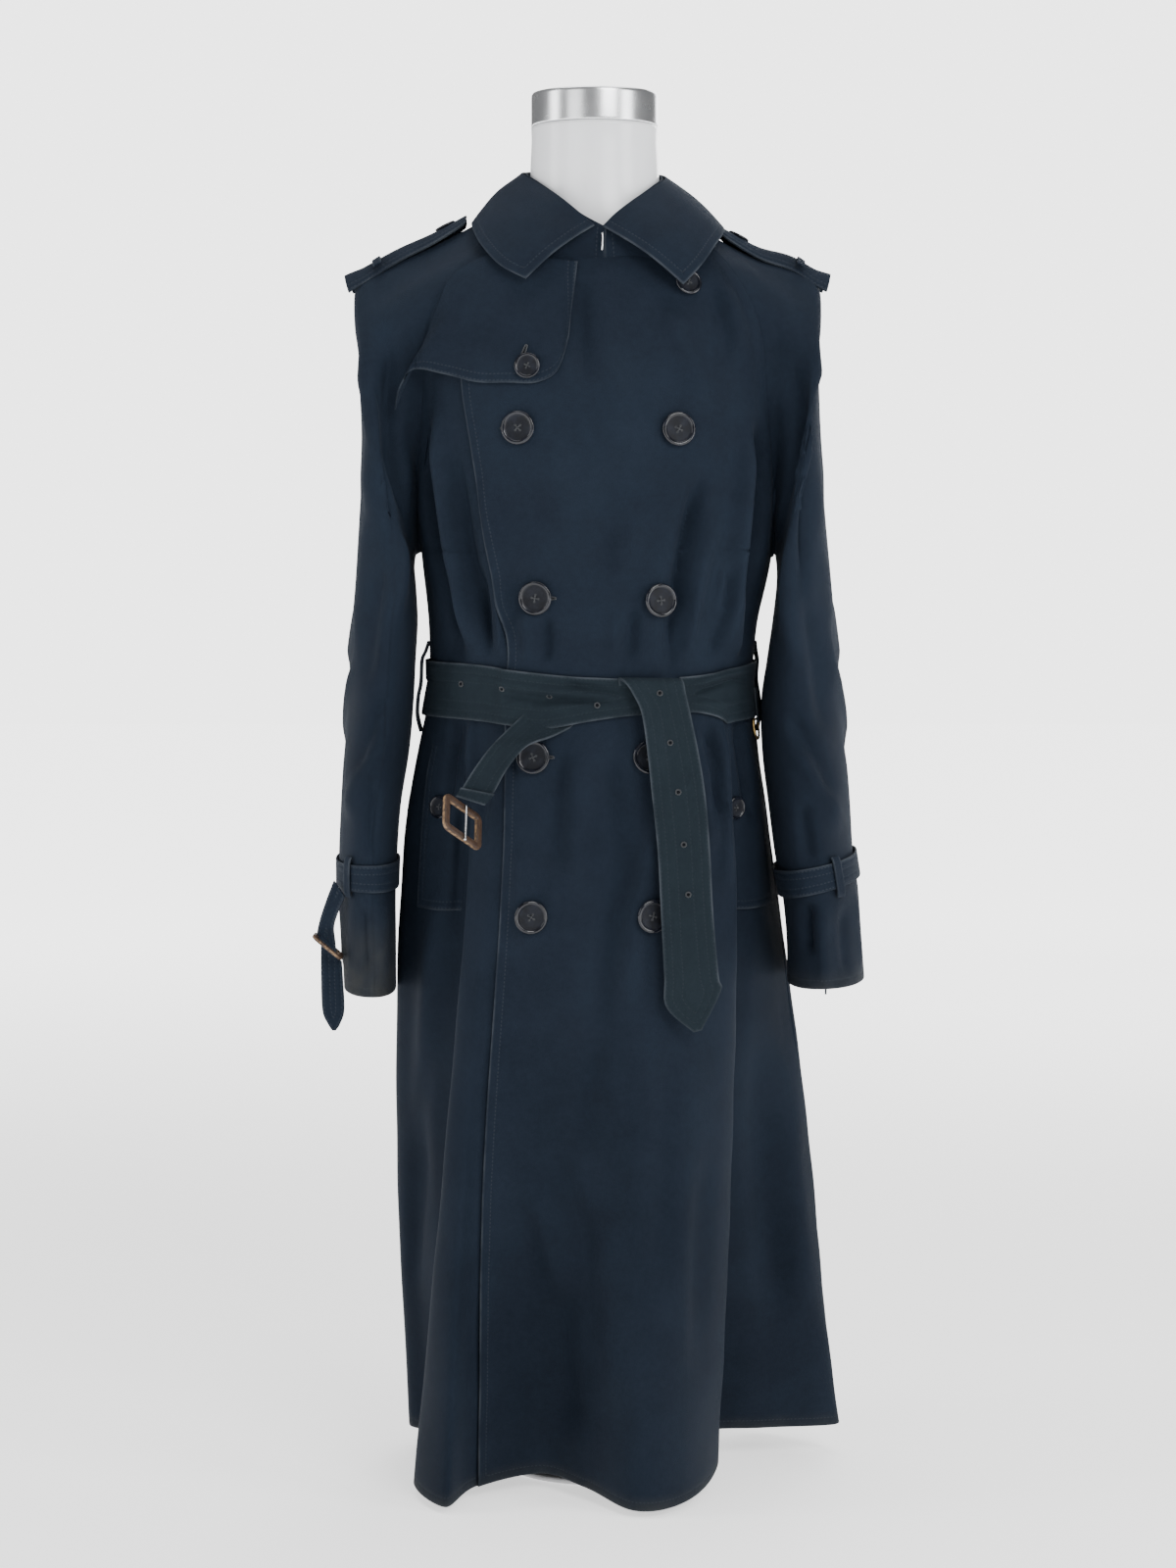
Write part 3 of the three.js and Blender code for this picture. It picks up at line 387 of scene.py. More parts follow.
# The stand is a steel tube on a flat round plate, both painted pale.
# The tube runs up to the form's lower end, and the skirt hides it.


def pale_paint():
    finish = Finish("pale_paint", Coat_Weight=0.2)
    finish.colour(finish.blend(finish.noise(30.0, 3), (0.6, 0.6, 0.61), (0.7, 0.7, 0.71)))
    finish.rough(0.35 + 0.1 * finish.noise(200.0, 2))
    finish.relief(finish.noise(500.0, 2), 0.00008)
    return finish.material


stand_paint = pale_paint()
POLE = [(0, 0), (12.4, 0), (13, 0.6), (13, 553.8), (12.4, 554.4), (0, 554.4)]
BASE = [(0, 0), (89, 0), (90, 0.9), (90, 3.6), (88.8, 5), (0, 5)]
placed(turned("stand_pole", POLE, (0, 25, 5.3), UP), "form_pole", stand_paint)
placed(turned("stand_base", BASE, (0, 50, 0), UP, 96), "form_base", stand_paint)

# The coat's body is three panels of closely woven cotton, lined: two fronts and a back.
# The wearer's left front laps over the right one. Belt and gravity draw the cloth into folds.
# thickness of the cloth, and how far the over front stands off the under one
CLOTH = 1.8
LAP = 3.0
BELT_Z = 744.0
ARMPIT_Z = 860.0
NECK_SEAM_Z = 1158.0
# Fold lines are counted from the over edge round the wearer's left side and the back. The side
# seams lie at these lines, and the under front reaches this many lines past the over edge.
FOLDS = 26
SIDE_LEFT = 8.5
SIDE_RIGHT = 19.5
UNDERLAP = 3.5
# height, centre x, half width, depth in front, depth behind, squareness
TORSO = [
    [744, -4, 147, 118, 112, 0.86],
    [800, -1, 151, 121, 114, 0.86],
    [860, 2, 160, 122, 115, 0.86],
    [950, 1, 167, 120, 116, 0.86],
    [1000, 0, 174, 116, 114, 0.86],
    [1050, 0, 186, 106, 110, 0.86],
    [1085, -1, 200, 95, 104, 0.86],
    [1110, -1, 182, 87, 96, 0.87],
    [1135, 0, 128, 78, 84, 0.92],
    [1160, 0, 82, 67, 72, 0.96],
    [1185, 0, 66, 62, 62, 1],
]
# raglan seam: height, distance from the middle
RAGLAN = [
    [860, 160],
    [875, 160],
    [900, 158],
    [950, 156],
    [1000, 153],
    [1050, 149],
    [1085, 139],
    [1110, 124],
    [1135, 104],
    [1160, 78],
]
# over front's free edge: height, bearing in degrees to the wearer's right
OVER_EDGE = [
    [744, 27],
    [783, 26.2],
    [821, 29.7],
    [852, 32],
    [894, 34.7],
    [956, 37.7],
    [1009, 38.5],
    [1050, 35.5],
    [1085, 30],
    [1110, 29.5],
    [1160, 36],
]
# neckline: bearing from the front, height
NECKLINE = [
    [0, 1121],
    [20, 1124],
    [35, 1131],
    [50, 1143],
    [68, 1158],
    [112, 1158],
    [140, 1166],
    [180, 1170],
]
# bearing at the belt, x and y at the hip, x and y at the knee, x and y at the hem, hem height
SKIRT = np.array([
    [-27, -81, -123, -101.5, -101, -108, -80, 12],
    [-16, -48, -128, -54, -96, -48, -54, 17],
    [-4, -10, -131, -6, -116, -8, -84, 13],
    [12, 38, -132, 40, -134, 38, -136, 7],
    [26, 80, -124, 86, -121, 84, -110, 9],
    [42, 122, -96, 121.5, -74, 113, -22, 16],
    [52, 119, -68, 106, -22, 100, 38, 28],
    [68, 145, -44, 146, 2, 162, 46, 30],
    [82, 157, -8, 190, 32, 231, 58, 30],
    [98, 164, 40, 204, 66, 218, 96, 30],
    [118, 142, 86, 160, 116, 160, 136, 30],
    [135, 106, 108, 114, 116, 114, 116, 30],
    [152, 68, 126, 72, 148, 76, 166, 30],
    [166, 34, 121, 34, 122, 34, 122, 30],
    [180, -2, 130, -2, 150, -2, 164, 30],
    [195, -40, 123, -42, 126, -44, 120, 30],
    [210, -76, 124, -82, 148, -86, 160, 30],
    [226, -112, 104, -118, 118, -122, 118, 30],
    [242, -146, 82, -156, 110, -156, 132, 30],
    [258, -172, 44, -182, 66, -174, 100, 30],
    [282, -176, -8, -184, 22, -176, 58, 29],
    [292, -162, -34, -168, -2, -154, 40, 28],
    [302, -138, -60, -150, -28, -142, 14, 24],
    [310, -110, -80, -130, -54, -150, -16, 16],
    [318, -112, -103, -138, -95, -166, -62, 9],
    [326, -97, -118, -120, -114, -134, -128, 7],
], float)
# cloth drawn in by the belt: bearing, height, how far it stands out, half width, reach
GATHERS = [
    [-54, 812, 6, 9, 42],
    [-36, 800, 4, 7, 36],
    [48, 806, 6, 9, 44],
    [24, 796, 3, 7, 34],
    [64, 880, 5, 9, 60],
    [-66, 890, 6, 9, 60],
    [150, 800, 5, 10, 40],
    [180, 806, 5, 10, 44],
    [212, 800, 5, 10, 40],
]


def torso(bearing, z):
    """The coat above the belt, at a bearing from the front (positive to +X) and a height."""
    bearing, z = np.broadcast_arrays(np.asarray(bearing, float), np.asarray(z, float))
    s, c = np.sin(np.radians(bearing)), np.cos(np.radians(bearing))
    p = read(TORSO, 5, z)
    out = 0
    for at, height, rise, wide, reach in GATHERS:
        off = (bearing - at + 180) % 360 - 180
        out = out + rise * np.exp(-((off / wide) ** 2) - ((z - height) / reach) ** 2)
    k = 1 + out * smooth((z - BELT_Z - 22) / 25) / 130
    x = read(TORSO, 1, z) + power(s, p) * read(TORSO, 2, z) * k
    depth = np.where(c > 0, read(TORSO, 3, z), read(TORSO, 4, z))
    return np.stack([x, -power(c, p) * depth * k, z], -1)


def seam_bearing(z):
    share = np.minimum(1, read(RAGLAN, 1, z) / read(TORSO, 2, z))
    found = np.degrees(np.arcsin(share ** (1 / read(TORSO, 5, z))))
    return np.where(z <= ARMPIT_Z, 90.0, found)


def bearing(q, z, back=False):
    """Bearing of fold line q at a height above the belt."""
    line = np.asarray(q, float) % FOLDS
    turns = np.append(SKIRT[:, 0], 360 + SKIRT[0, 0])
    at = np.interp(line, np.arange(FOLDS + 1), turns)
    seam, edge = seam_bearing(z), read(OVER_EDGE, 1, z)
    behind = 180 - seam + 2 * seam * (at - 90) / 180
    left = -edge + (seam + edge) * (at + 27) / 117
    right = -seam + (seam - edge) * (at - 270) / 63
    found = np.where(line <= SIDE_LEFT, left, np.where(line < SIDE_RIGHT, behind, right))
    return behind if back else found


BELT_ENDS = torso(SKIRT[:, 0], BELT_Z)
RUN_Z = np.stack([SKIRT[:, 7], np.full(FOLDS, 290.0), np.full(FOLDS, 590.0), np.full(FOLDS, BELT_Z)], 1)
RUN_X = np.stack([SKIRT[:, 5], SKIRT[:, 3], SKIRT[:, 1], BELT_ENDS[:, 0]], 1)
RUN_Y = np.stack([SKIRT[:, 6], SKIRT[:, 4], SKIRT[:, 2], BELT_ENDS[:, 1]], 1)


def run_down(line, values, z):
    """One coordinate of the skirt on whole fold lines, at heights below the belt."""
    line = line % FOLDS
    x, v = RUN_Z[line], values[line]
    slope = slopes(x, v)
    i = (z > x[..., 1]).astype(int) + (z > x[..., 2])

    def pick(table, k):
        return np.take_along_axis(table, (i + k)[..., None], -1)[..., 0]

    h = pick(x, 1) - pick(x, 0)
    t = (z - pick(x, 0)) / h
    low = np.minimum(t, 0)
    t = np.clip(t, 0, 1)
    curve = cubic(t, h, pick(v, 0), pick(v, 1), pick(slope, 0), pick(slope, 1))
    return curve + low * h * slope[..., 0]


def coat(q, z, back=False):
    """The coat's outer surface on fold line q, counted from the over edge, at a height."""
    q, z = np.broadcast_arrays(np.asarray(q, float), np.asarray(z, float))
    upper = torso(bearing(q, np.maximum(z, BELT_Z), back), np.maximum(z, BELT_Z))
    i = np.floor(q).astype(int)
    low = np.minimum(z, BELT_Z)
    lines = [[run_down(i + k, values, low) for k in (-1, 0, 1, 2)] for values in (RUN_X, RUN_Y)]
    lower = np.stack([through(*lines[0], q - i), through(*lines[1], q - i), z], -1)
    return np.where((z >= BELT_Z)[..., None], upper, lower)


def coat_out(q, z, back=False):
    """Unit vectors square to the coat's surface, pointing out."""
    around = coat(np.asarray(q) + 0.08, z, back) - coat(np.asarray(q) - 0.08, z, back)
    up = coat(q, np.asarray(z) + 2.0, back) - coat(q, np.asarray(z) - 2.0, back)
    return unit(np.cross(around, up))


def off_coat(q, z, lift, back=False):
    """A point that stands off the coat's surface."""
    return coat(q, z, back) + coat_out(q, z, back) * np.asarray(lift, float)[..., None]


def over_lift(q):
    """How far the over front stands above the base surface."""
    return LAP * (1 - smooth((np.asarray(q, float) - 3.6) / 4))


def hem_height(q):
    q = np.asarray(q, float)
    i = np.floor(q).astype(int)
    rows = [SKIRT[(i + k) % FOLDS, 7] for k in (-1, 0, 1, 2)]
    return through(*rows, q - i)


def neck_height(q, back):
    z = np.full(np.shape(q), 1140.0)
    for _ in range(8):
        z = read(NECKLINE, 1, np.abs((bearing(q, z, back) + 180) % 360 - 180))
    to_seam = np.minimum(np.abs(q - SIDE_LEFT), np.abs(q - SIDE_RIGHT))
    near = smooth(1 - to_seam / 0.5)
    return z + (NECK_SEAM_Z - z) * near


# Creases as seen from one side: from and to (across, height), how far the middle bows to the
# wearer's right, half width, and how far out (ridge, positive) or in (trough, negative).
FRONT_CREASES = [
    [-141, 992, -106, 765, 4, 9, 7.5],
    [-151, 985, -119, 765, 4, 8, -9],
    [-127, 955, -92, 775, 2, 7, -3.5],
    [-98, 930, -80, 770, 2, 8, 2.4],
    [-62, 812, -58, 764, 0, 7, 2.6],
    [-44, 806, -42, 764, 0, 6, -2.4],
    [96, 935, 66, 752, 6, 7, -5.5],
    [110, 900, 80, 770, 4, 8, 3.5],
    [136, 985, 114, 765, -3, 8, 6],
    [150, 985, 132, 770, -2, 8, -7],
    [124, 860, 103, 762, 0, 5, -4],
    [134, 830, 124, 765, 0, 5, 3],
    [34, 815, 30, 764, 0, 6, -2.5],
    [18, 810, 16, 764, 0, 6, 2],
    [-126, 1080, -138, 1015, 3, 8, -1.4],
    [112, 1100, 131, 1040, -3, 7, 1.6],
    [99, 1098, 118, 1020, -4, 7, -1.6],
    [60, 1080, 96, 985, -5, 12, 1.8],
    [-14, 1105, -6, 1000, 2, 10, -1.6],
    [10, 1090, 24, 960, 2, 14, 1.4],
    [-40, 960, -20, 850, 3, 14, 1.6],
    [8, 930, 14, 830, 2, 12, -1.4],
    [40, 905, 20, 830, 2, 10, 1.6],
    [44, 640, 4, 420, 6, 12, -3.2],
    [60, 640, 26, 470, 5, 12, 2.6],
    [4, 440, -8, 330, 2, 10, -2.2],
    [-40, 330, -4, 215, -3, 11, -2.6],
    [-62, 300, -30, 190, -3, 11, 2],
    [10, 270, 24, 90, 3, 14, 2.2],
    [-30, 200, -20, 60, 2, 14, -2.4],
    [66, 420, 60, 200, 2, 14, -2.2],
    [-66, 610, -62, 500, 1, 9, 1.6],
    [-30, 690, -34, 590, 1, 8, -2],
    [-12, 690, -16, 560, 2, 10, 2],
    [20, 690, 22, 590, 1, 8, -2],
    [98, 690, 104, 590, 1, 8, 2.4],
    [-96, 690, -104, 600, 0, 6, -2.4],
    [100, 330, 94, 120, 2, 10, -2],
    [150, 420, 176, 120, 4, 14, -3],
    [182, 400, 204, 140, 4, 12, 2.6],
    [-140, 560, -160, 300, 3, 10, 3],
    [-150, 420, -172, 160, 3, 9, -3],
    [-118, 640, -128, 520, 0, 6, -2],
    [-122, 716, -134, 630, 0, 5, -3],
    [-108, 716, -112, 640, 0, 4, 2.4],
    [100, 716, 108, 620, 0, 5, -3],
    [112, 716, 118, 560, 0, 5, 3],
    [128, 716, 142, 620, 0, 5, -3],
    [-70, 716, -72, 660, 0, 4, -1.6],
    [88, 716, 90, 650, 0, 4, 1.8],
    [-100, 850, -92, 768, 0, 4, -2.6],
    [-86, 840, -82, 768, 0, 4, 2],
    [82, 840, 76, 768, 0, 4, -2.2],
    [114, 850, 108, 768, 0, 4, 2.2],
]
BACK_CREASES = [
    [-118, 1010, -84, 800, 4, 11, -4],
    [-98, 990, -64, 790, 4, 10, 3.5],
    [-40, 870, -30, 762, 2, 8, -3],
    [-20, 880, -14, 762, 2, 8, 3],
    [16, 870, 12, 762, 1, 8, -3],
    [34, 890, 26, 765, 1, 8, 2.8],
    [74, 950, 54, 768, -3, 10, -3.6],
    [100, 985, 76, 770, -4, 11, 4],
    [124, 1020, 104, 800, -3, 10, -3.6],
    [-60, 1080, -20, 960, -3, 16, -1.8],
    [40, 1090, 10, 980, 4, 16, 1.8],
    [-70, 690, -84, 420, 3, 12, 2.6],
    [-46, 680, -56, 380, 2, 10, -3],
    [30, 690, 44, 400, -2, 12, 2.4],
    [92, 690, 104, 460, -3, 12, -2.6],
    [54, 420, 66, 150, -3, 14, -2.4],
    [-20, 400, -10, 120, 3, 14, 2.4],
    [-104, 380, -120, 130, 3, 12, 2.4],
]


def creased(grid, table, across=0, side=-1, strength=1.5, hold=1.0):
    """Moves a sheet in and out along a table of creases, on the faces that look to one side.

    The depths are multiplied by strength, and by hold, which is 0 where the sheet is held."""
    out = facing(grid)
    a, z = grid[..., across], grid[..., 2]
    shift = np.zeros(a.shape)
    for a0, z0, a1, z1, bow, width, depth in table:
        run = math.hypot(a1 - a0, z1 - z0)
        ua, uz = (a1 - a0) / run, (z1 - z0) / run
        t = ((a - a0) * ua + (z - z0) * uz) / run
        curve = bow * 4 * np.clip(t, 0, 1) * (1 - np.clip(t, 0, 1))
        off = (a - a0) * uz - (z - z0) * ua - curve
        ends = smooth((t + 0.05) / 0.3) * smooth((1.05 - t) / 0.3)
        shift += strength * depth * np.exp(-((off / width) ** 2)) * ends
    towards = smooth((side * out[..., 1 - across] - 0.05) / 0.4)
    return grid + out * (shift * towards * hold)[..., None]


def sewn(grid, ends):
    """0 along the armhole seams, where a panel is held, and 1 away from them."""
    run = lengths(grid, 1)
    gaps = {"left": run, "right": run[:, -1:] - run}
    free = np.min([smooth(gaps[end] / 24) for end in ends], axis=0)
    return 1 - (1 - free) * smooth((grid[..., 2] - ARMPIT_Z + 50) / 40)


def rumpled(grid, size, depth, seed):
    """Adds the small unevenness that worn cloth has: a few crossing waves of random bearing."""
    random = np.random.default_rng(seed)
    out = facing(grid)
    across, down = lengths(grid, 1), lengths(grid, 0)
    shift = np.zeros(across.shape)
    for _ in range(9):
        turn = random.uniform(0, math.pi)
        pitch = size * random.uniform(0.7, 1.6)
        phase = random.uniform(0, TAU)
        along = across * math.cos(turn) + down * math.sin(turn)
        bend = 0.8 * np.sin((across * math.sin(turn) - down * math.cos(turn)) / pitch + phase)
        shift += np.sin(along / pitch * 2 + phase + bend)
    return grid + out * (shift * depth / 4)[..., None]


# how far a cut edge is rounded, and a distance further than any stitch from an edge
ROUND_OFF = 0.5
FAR = 99.0


def cloth(name, grid, finish, node, edges=(), thick=CLOTH, fade=None):
    """A piece of cloth: a grid of outer points, given its thickness inwards and soft edges."""
    across, down = lengths(grid, 1), lengths(grid, 0)
    ways = {
        "left": (across, down),
        "right": (across[:, -1:] - across, down),
        "top": (down, across),
        "bottom": (down[-1:] - down, across),
    }
    edge, along = np.full(across.shape, FAR), down.copy()
    for way in edges:
        gap, run = ways[way]
        nearer = gap < edge
        edge, along = np.where(nearer, gap, edge), np.where(nearer, run, along)
    fade = np.zeros(across.shape) if fade is None else fade
    obj = skin(name, grid, {"edge": edge, "along": along, "fade": fade})
    wall = obj.modifiers.new("wall", "SOLIDIFY")
    wall.thickness = thick * MM
    wall.offset = -1
    soft = obj.modifiers.new("soft_edges", "BEVEL")
    soft.width = ROUND_OFF * MM
    soft.segments = 2
    soft.limit_method = "ANGLE"
    soft.angle_limit = math.radians(60)
    return placed(obj, node, finish)


# angle of the twill's wave that one metre takes, and the length of one stitch
TWILL = 4800.0
STITCH = 3.6
RUBBED = (0.040, 0.047, 0.056)
FADED = (0.030, 0.0305, 0.0285)


def woven(name, dark, light, rows=(8.0,), worn=0.5, thread_shows=0.35):
    """Closely woven cotton, with stitched rows at the given distances from its edges."""
    finish = Finish(name, Sheen_Weight=0.02, Sheen_Roughness=0.45, Sheen_Tint=(0.55, 0.66, 0.85),
                    Specular_IOR_Level=0.09)
    uv = finish.node("UVMap", {"uv_map": "cloth"})
    across = finish.node("SeparateXYZ", None, {0: uv})
    down = Number(finish, across.socket.node.outputs[1])
    twill = ((across + down) * TWILL).wave() * 0.5 + 0.5
    slub = finish.noise(900.0, 2)
    cloud = finish.noise(7.0, 4)
    patch = finish.noise(38.0, 4)
    edge, along, fade = finish.value("edge"), finish.value("along"), finish.value("fade")
    dash = (along * (TAU / STITCH)).wave().ramp(-0.5, 0.2)
    thread = 0.0
    groove = 0.0
    for place in rows:
        thread = edge.bump_at(place, 0.75) * dash + thread
        groove = edge.bump_at(place, 2.6) + groove
    pucker = finish.noise(170.0, 2) * edge.ramp(14.0, 4.0)
    rim = edge.ramp(2.4, 0.2) * (0.35 + patch.ramp(0.35, 0.7))
    rubbed = rim * worn + thread * thread_shows
    mottle = finish.noise(210.0, 3)
    shade = cloud.ramp(0.35, 0.65) * 0.5 + patch.ramp(0.3, 0.7) * 0.3 + mottle.ramp(0.3, 0.7) * 0.2
    pale = finish.blend(rubbed.math("MINIMUM", 1), finish.blend(shade, dark, light), RUBBED)
    finish.colour(finish.blend(fade * (0.4 + patch.ramp(0.3, 0.7) * 0.6), pale, FADED))
    finish.rough(0.74 + 0.14 * patch)
    finish.relief(twill * 0.14 + slub * 0.3 + pucker * 0.9 - groove * 0.55 + thread * 0.3, 0.0006)
    return finish.material


NAVY_DARK = (0.0040, 0.0071, 0.0132)
NAVY_LIGHT = (0.0074, 0.0120, 0.0205)
coat_cloth = woven("navy_cotton", NAVY_DARK, NAVY_LIGHT)


# rows of points above the armpits, from there to the belt, and below it
PANEL_ROWS = (62, 26, 150)


def panel_grid(lines, lift, back=False):
    """Outer points of a panel: rows run from the neck down to the hem, over its fold lines."""
    top, hem = neck_height(lines, back), hem_height(lines)
    shoulder = np.linspace(1, 0, PANEL_ROWS[0])[:-1, None]
    bodice = np.linspace(1, 0, PANEL_ROWS[1])[:-1, None]
    skirt = np.linspace(0, 1, PANEL_ROWS[2])[:, None]
    z = np.concatenate([
        ARMPIT_Z + (top - ARMPIT_Z) * shoulder,
        BELT_Z + (ARMPIT_Z - BELT_Z) * bodice + 0 * top,
        BELT_Z + (hem - BELT_Z) * skirt,
    ])
    q = np.broadcast_to(lines, z.shape)
    return off_coat(q, z, lift(q), back)


def hem_fade(grid, reach=16, share=0.5):
    """How faded the cloth is, from its share at the hem to nothing a reach above it."""
    to_hem = lengths(grid, 0)[-1:] - lengths(grid, 0)
    return share * smooth(1 - to_hem / reach)


def no_lift(q):
    return 0 * q


def tucked_at_sides(q):
    """The back panel's seam allowances lie just under the fronts."""
    return -1.6 * smooth((SIDE_LEFT + 0.03 - q) / 0.03) - 1.6 * smooth((q - SIDE_RIGHT + 0.03) / 0.03)


CREASE_STRENGTH = 2.6
left_lines = np.concatenate([np.linspace(0, 0.4, 9)[:-1], np.linspace(0.4, SIDE_LEFT, 96)])
front = panel_grid(left_lines, over_lift)
front = creased(front, FRONT_CREASES, strength=CREASE_STRENGTH, hold=sewn(front, ["right"]))
front = rumpled(front, 30, 0.5, 3)
front_left = cloth("front_left_cloth", front, coat_cloth, "front_left", edges=("left", "bottom"),
                   fade=hem_fade(front))
right_lines = np.linspace(SIDE_RIGHT, FOLDS + UNDERLAP, 118)
under = panel_grid(right_lines, no_lift)
under = creased(under, FRONT_CREASES, strength=CREASE_STRENGTH, hold=sewn(under, ["left"]))
under = rumpled(under, 30, 0.5, 4)
front_right = cloth("front_right_cloth", under, coat_cloth, "front_right", edges=("right", "bottom"),
                    fade=hem_fade(under))
back_lines = np.concatenate([
    np.linspace(SIDE_LEFT - 0.14, SIDE_LEFT + 0.03, 6)[:-1],
    np.linspace(SIDE_LEFT + 0.03, SIDE_RIGHT - 0.03, 126),
    np.linspace(SIDE_RIGHT - 0.03, SIDE_RIGHT + 0.14, 6)[1:],
])
behind = panel_grid(back_lines, tucked_at_sides, True)
at_seams = sewn(behind, ["left", "right"])
behind = rumpled(creased(behind, BACK_CREASES, side=1, strength=2.4, hold=at_seams), 30, 0.6, 5)
back = cloth("back_cloth", behind, coat_cloth, "back", edges=("bottom",), fade=hem_fade(behind))

# Raglan sleeves of the same cotton, lined, and sewn in from the neck to the underarm.
# They are empty, so they hang flattened beside the body, and their shoulders are padded.
# inner x and z, outer x and z, depth in front, depth behind, centre y, lean of the front edge
SLEEVES = {
    "left": [
        [166, 857, 203, 1094, 82, 84, 0, 0],
        [167, 847, 203, 1030, 92, 88, 0, 3],
        [167, 836, 205, 965, 95, 88, 0, 6],
        [166, 822, 211, 895, 95, 88, -1, 8],
        [163, 797, 217, 832, 94, 86, -2, 8],
        [158, 762, 222, 778, 92, 84, -3, 8],
        [153, 725, 227, 732, 90, 82, -4, 8],
        [154, 680, 231, 683, 88, 80, -5, 8],
        [160, 630, 235, 632, 85, 78, -6, 8],
        [166, 585, 238, 585, 82, 75, -7, 8],
        [173, 548, 243, 552, 80, 73, -8, 8],
        [177, 510, 246, 512, 80, 74, -8, 8],
        [178, 469, 249, 471, 82, 76, -8, 8],
    ],
    "right": [
        [164, 857, 216, 1090, 82, 84, 0, 0],
        [165, 847, 214, 1030, 92, 88, 0, 3],
        [164, 836, 211, 965, 95, 88, 0, 5],
        [163, 822, 215, 895, 95, 88, -1, 5],
        [162, 797, 219, 832, 94, 86, -2, 5],
        [164, 762, 224, 778, 92, 84, -3, 5],
        [166, 725, 227, 732, 90, 82, -4, 5],
        [170, 680, 230, 683, 88, 80, -5, 5],
        [178, 630, 233, 632, 85, 78, -6, 5],
        [181.5, 585, 235, 585, 82, 75, -7, 4],
        [183, 548, 235, 552, 78, 72, -8, 4],
        [183, 510, 233, 512, 76, 70, -8, 4],
        [183, 461, 231, 463, 78, 72, -8, 4],
    ],
}
SHOULDER_ROWS = 8
ROUND = 2 * SHOULDER_ROWS + 3
HANDS = {"left": 1, "right": -1}


def torso_out(turn, z):
    """Unit vectors square to the coat above the belt, pointing out."""
    around = torso(turn + 1, z) - torso(turn - 1, z)
    return unit(np.cross(around, torso(turn, z + 2) - torso(turn, z - 2)))


def seam_ring(hand):
    """The sleeve's upper end, along the raglan seam, and the directions out of the body."""
    k = np.arange(1, SHOULDER_ROWS + 1)
    z = ARMPIT_Z + (NECK_SEAM_Z - ARMPIT_Z) * k / SHOULDER_ROWS
    seam = seam_bearing(z)
    turns = np.concatenate([[90], seam, [83, 97], (180 - seam)[::-1]]) * hand
    heights = np.concatenate([[ARMPIT_Z], z, [NECK_SEAM_Z + 1] * 2, z[::-1]])
    points = torso(turns, heights)
    out = torso_out(turns, heights)
    away = unit(np.cross(out, np.roll(points, -1, 0) - np.roll(points, 1, 0)))
    judge = away[:, 0] * hand
    judge[0] += away[0, 2]
    away[judge < 0] *= -1
    return points + away * 0.5, away, out


def sleeve_points(side):
    """The sleeve's coarse grid: the seam, three rings below it, and then each section."""
    hand = HANDS[side]
    ring, away, _ = seam_ring(hand)
    a = np.arange(ROUND) / ROUND * TAU
    c, s = power(np.cos(a), 0.9), power(np.sin(a), 0.88)
    sections = []
    for inner_x, inner_z, outer_x, outer_z, ahead, behind_, centre, lean in SLEEVES[side]:
        x = (inner_x + outer_x) / 2 + (inner_x - outer_x) / 2 * c - lean * np.sin(a)
        y = centre - np.where(s > 0, ahead, behind_) * s
        z = (inner_z + outer_z) / 2 + (inner_z - outer_z) / 2 * c
        sections.append(np.stack([hand * x, y, z], 1))
    reach = np.linalg.norm(ring - sections[0], axis=1, keepdims=True)
    chain = [ring - away * reach, ring, *sections, sections[-1]]
    rows = [ring]
    for k in range(1, len(chain) - 2):
        steps = 3 if k == 1 else 1
        for m in range(1, steps + 1):
            rows.append(through(*chain[k - 1:k + 3], m / steps))
    return np.array(rows)


SLEEVE_GRID = {side: sleeve_points(side) for side in HANDS}
# creases seen from the front: across, height, across, height, bow, half width, depth
SLEEVE_CREASES = {
    "left": [
        [176, 1040, 184, 820, -3, 8, -5],
        [196, 1060, 200, 860, -3, 9, 4],
        [166, 930, 178, 760, 3, 7, 4],
        [186, 830, 208, 700, -2, 9, -3.5],
        [206, 880, 214, 720, -2, 8, 3],
        [168, 720, 214, 640, -6, 8, -3.5],
        [172, 690, 222, 610, -6, 8, 3],
        [186, 640, 196, 580, 2, 7, -3],
        [192, 548, 194, 500, 2, 5, -5],
        [204, 548, 208, 470, 2, 7, 3],
        [226, 545, 230, 480, 2, 6, -2.5],
    ],
    "right": [
        [-182, 1060, -172, 860, 3, 8, -5],
        [-200, 1060, -196, 880, 3, 9, 4],
        [-170, 960, -176, 800, -2, 7, 4],
        [-186, 860, -206, 740, 3, 9, -3.5],
        [-200, 900, -216, 760, 3, 8, 3],
        [-176, 740, -214, 660, 5, 8, -3],
        [-186, 700, -222, 620, 5, 8, 3],
        [-200, 660, -198, 590, 0, 7, -3],
        [-206, 548, -202, 480, 2, 7, -3],
        [-190, 548, -192, 470, 2, 6, 2.4],
    ],
}
# creases seen from behind
ELBOW_CREASES = [
    [176, 1030, 186, 850, 3, 9, -4],
    [200, 1040, 206, 880, 3, 10, 4],
    [170, 800, 212, 730, 5, 8, -4],
    [172, 760, 220, 700, 5, 8, 3.5],
    [176, 700, 222, 650, 4, 8, -3],
    [184, 640, 206, 590, 2, 7, 2.5],
]
# creases seen from the side: y, height, y, height, bow, half width, depth
SIDE_CREASES = [
    [-40, 1050, -28, 880, 3, 12, -3.5],
    [26, 1060, 18, 900, 3, 12, 3],
    [-66, 800, 10, 740, 6, 11, -4],
    [-60, 760, 30, 690, 6, 11, 3.5],
    [-30, 700, 50, 650, 4, 10, -3],
    [40, 820, -10, 760, -4, 11, 3],
    [0, 560, 8, 480, 2, 9, -3],
    [-44, 555, -40, 480, 2, 8, 2.5],
]
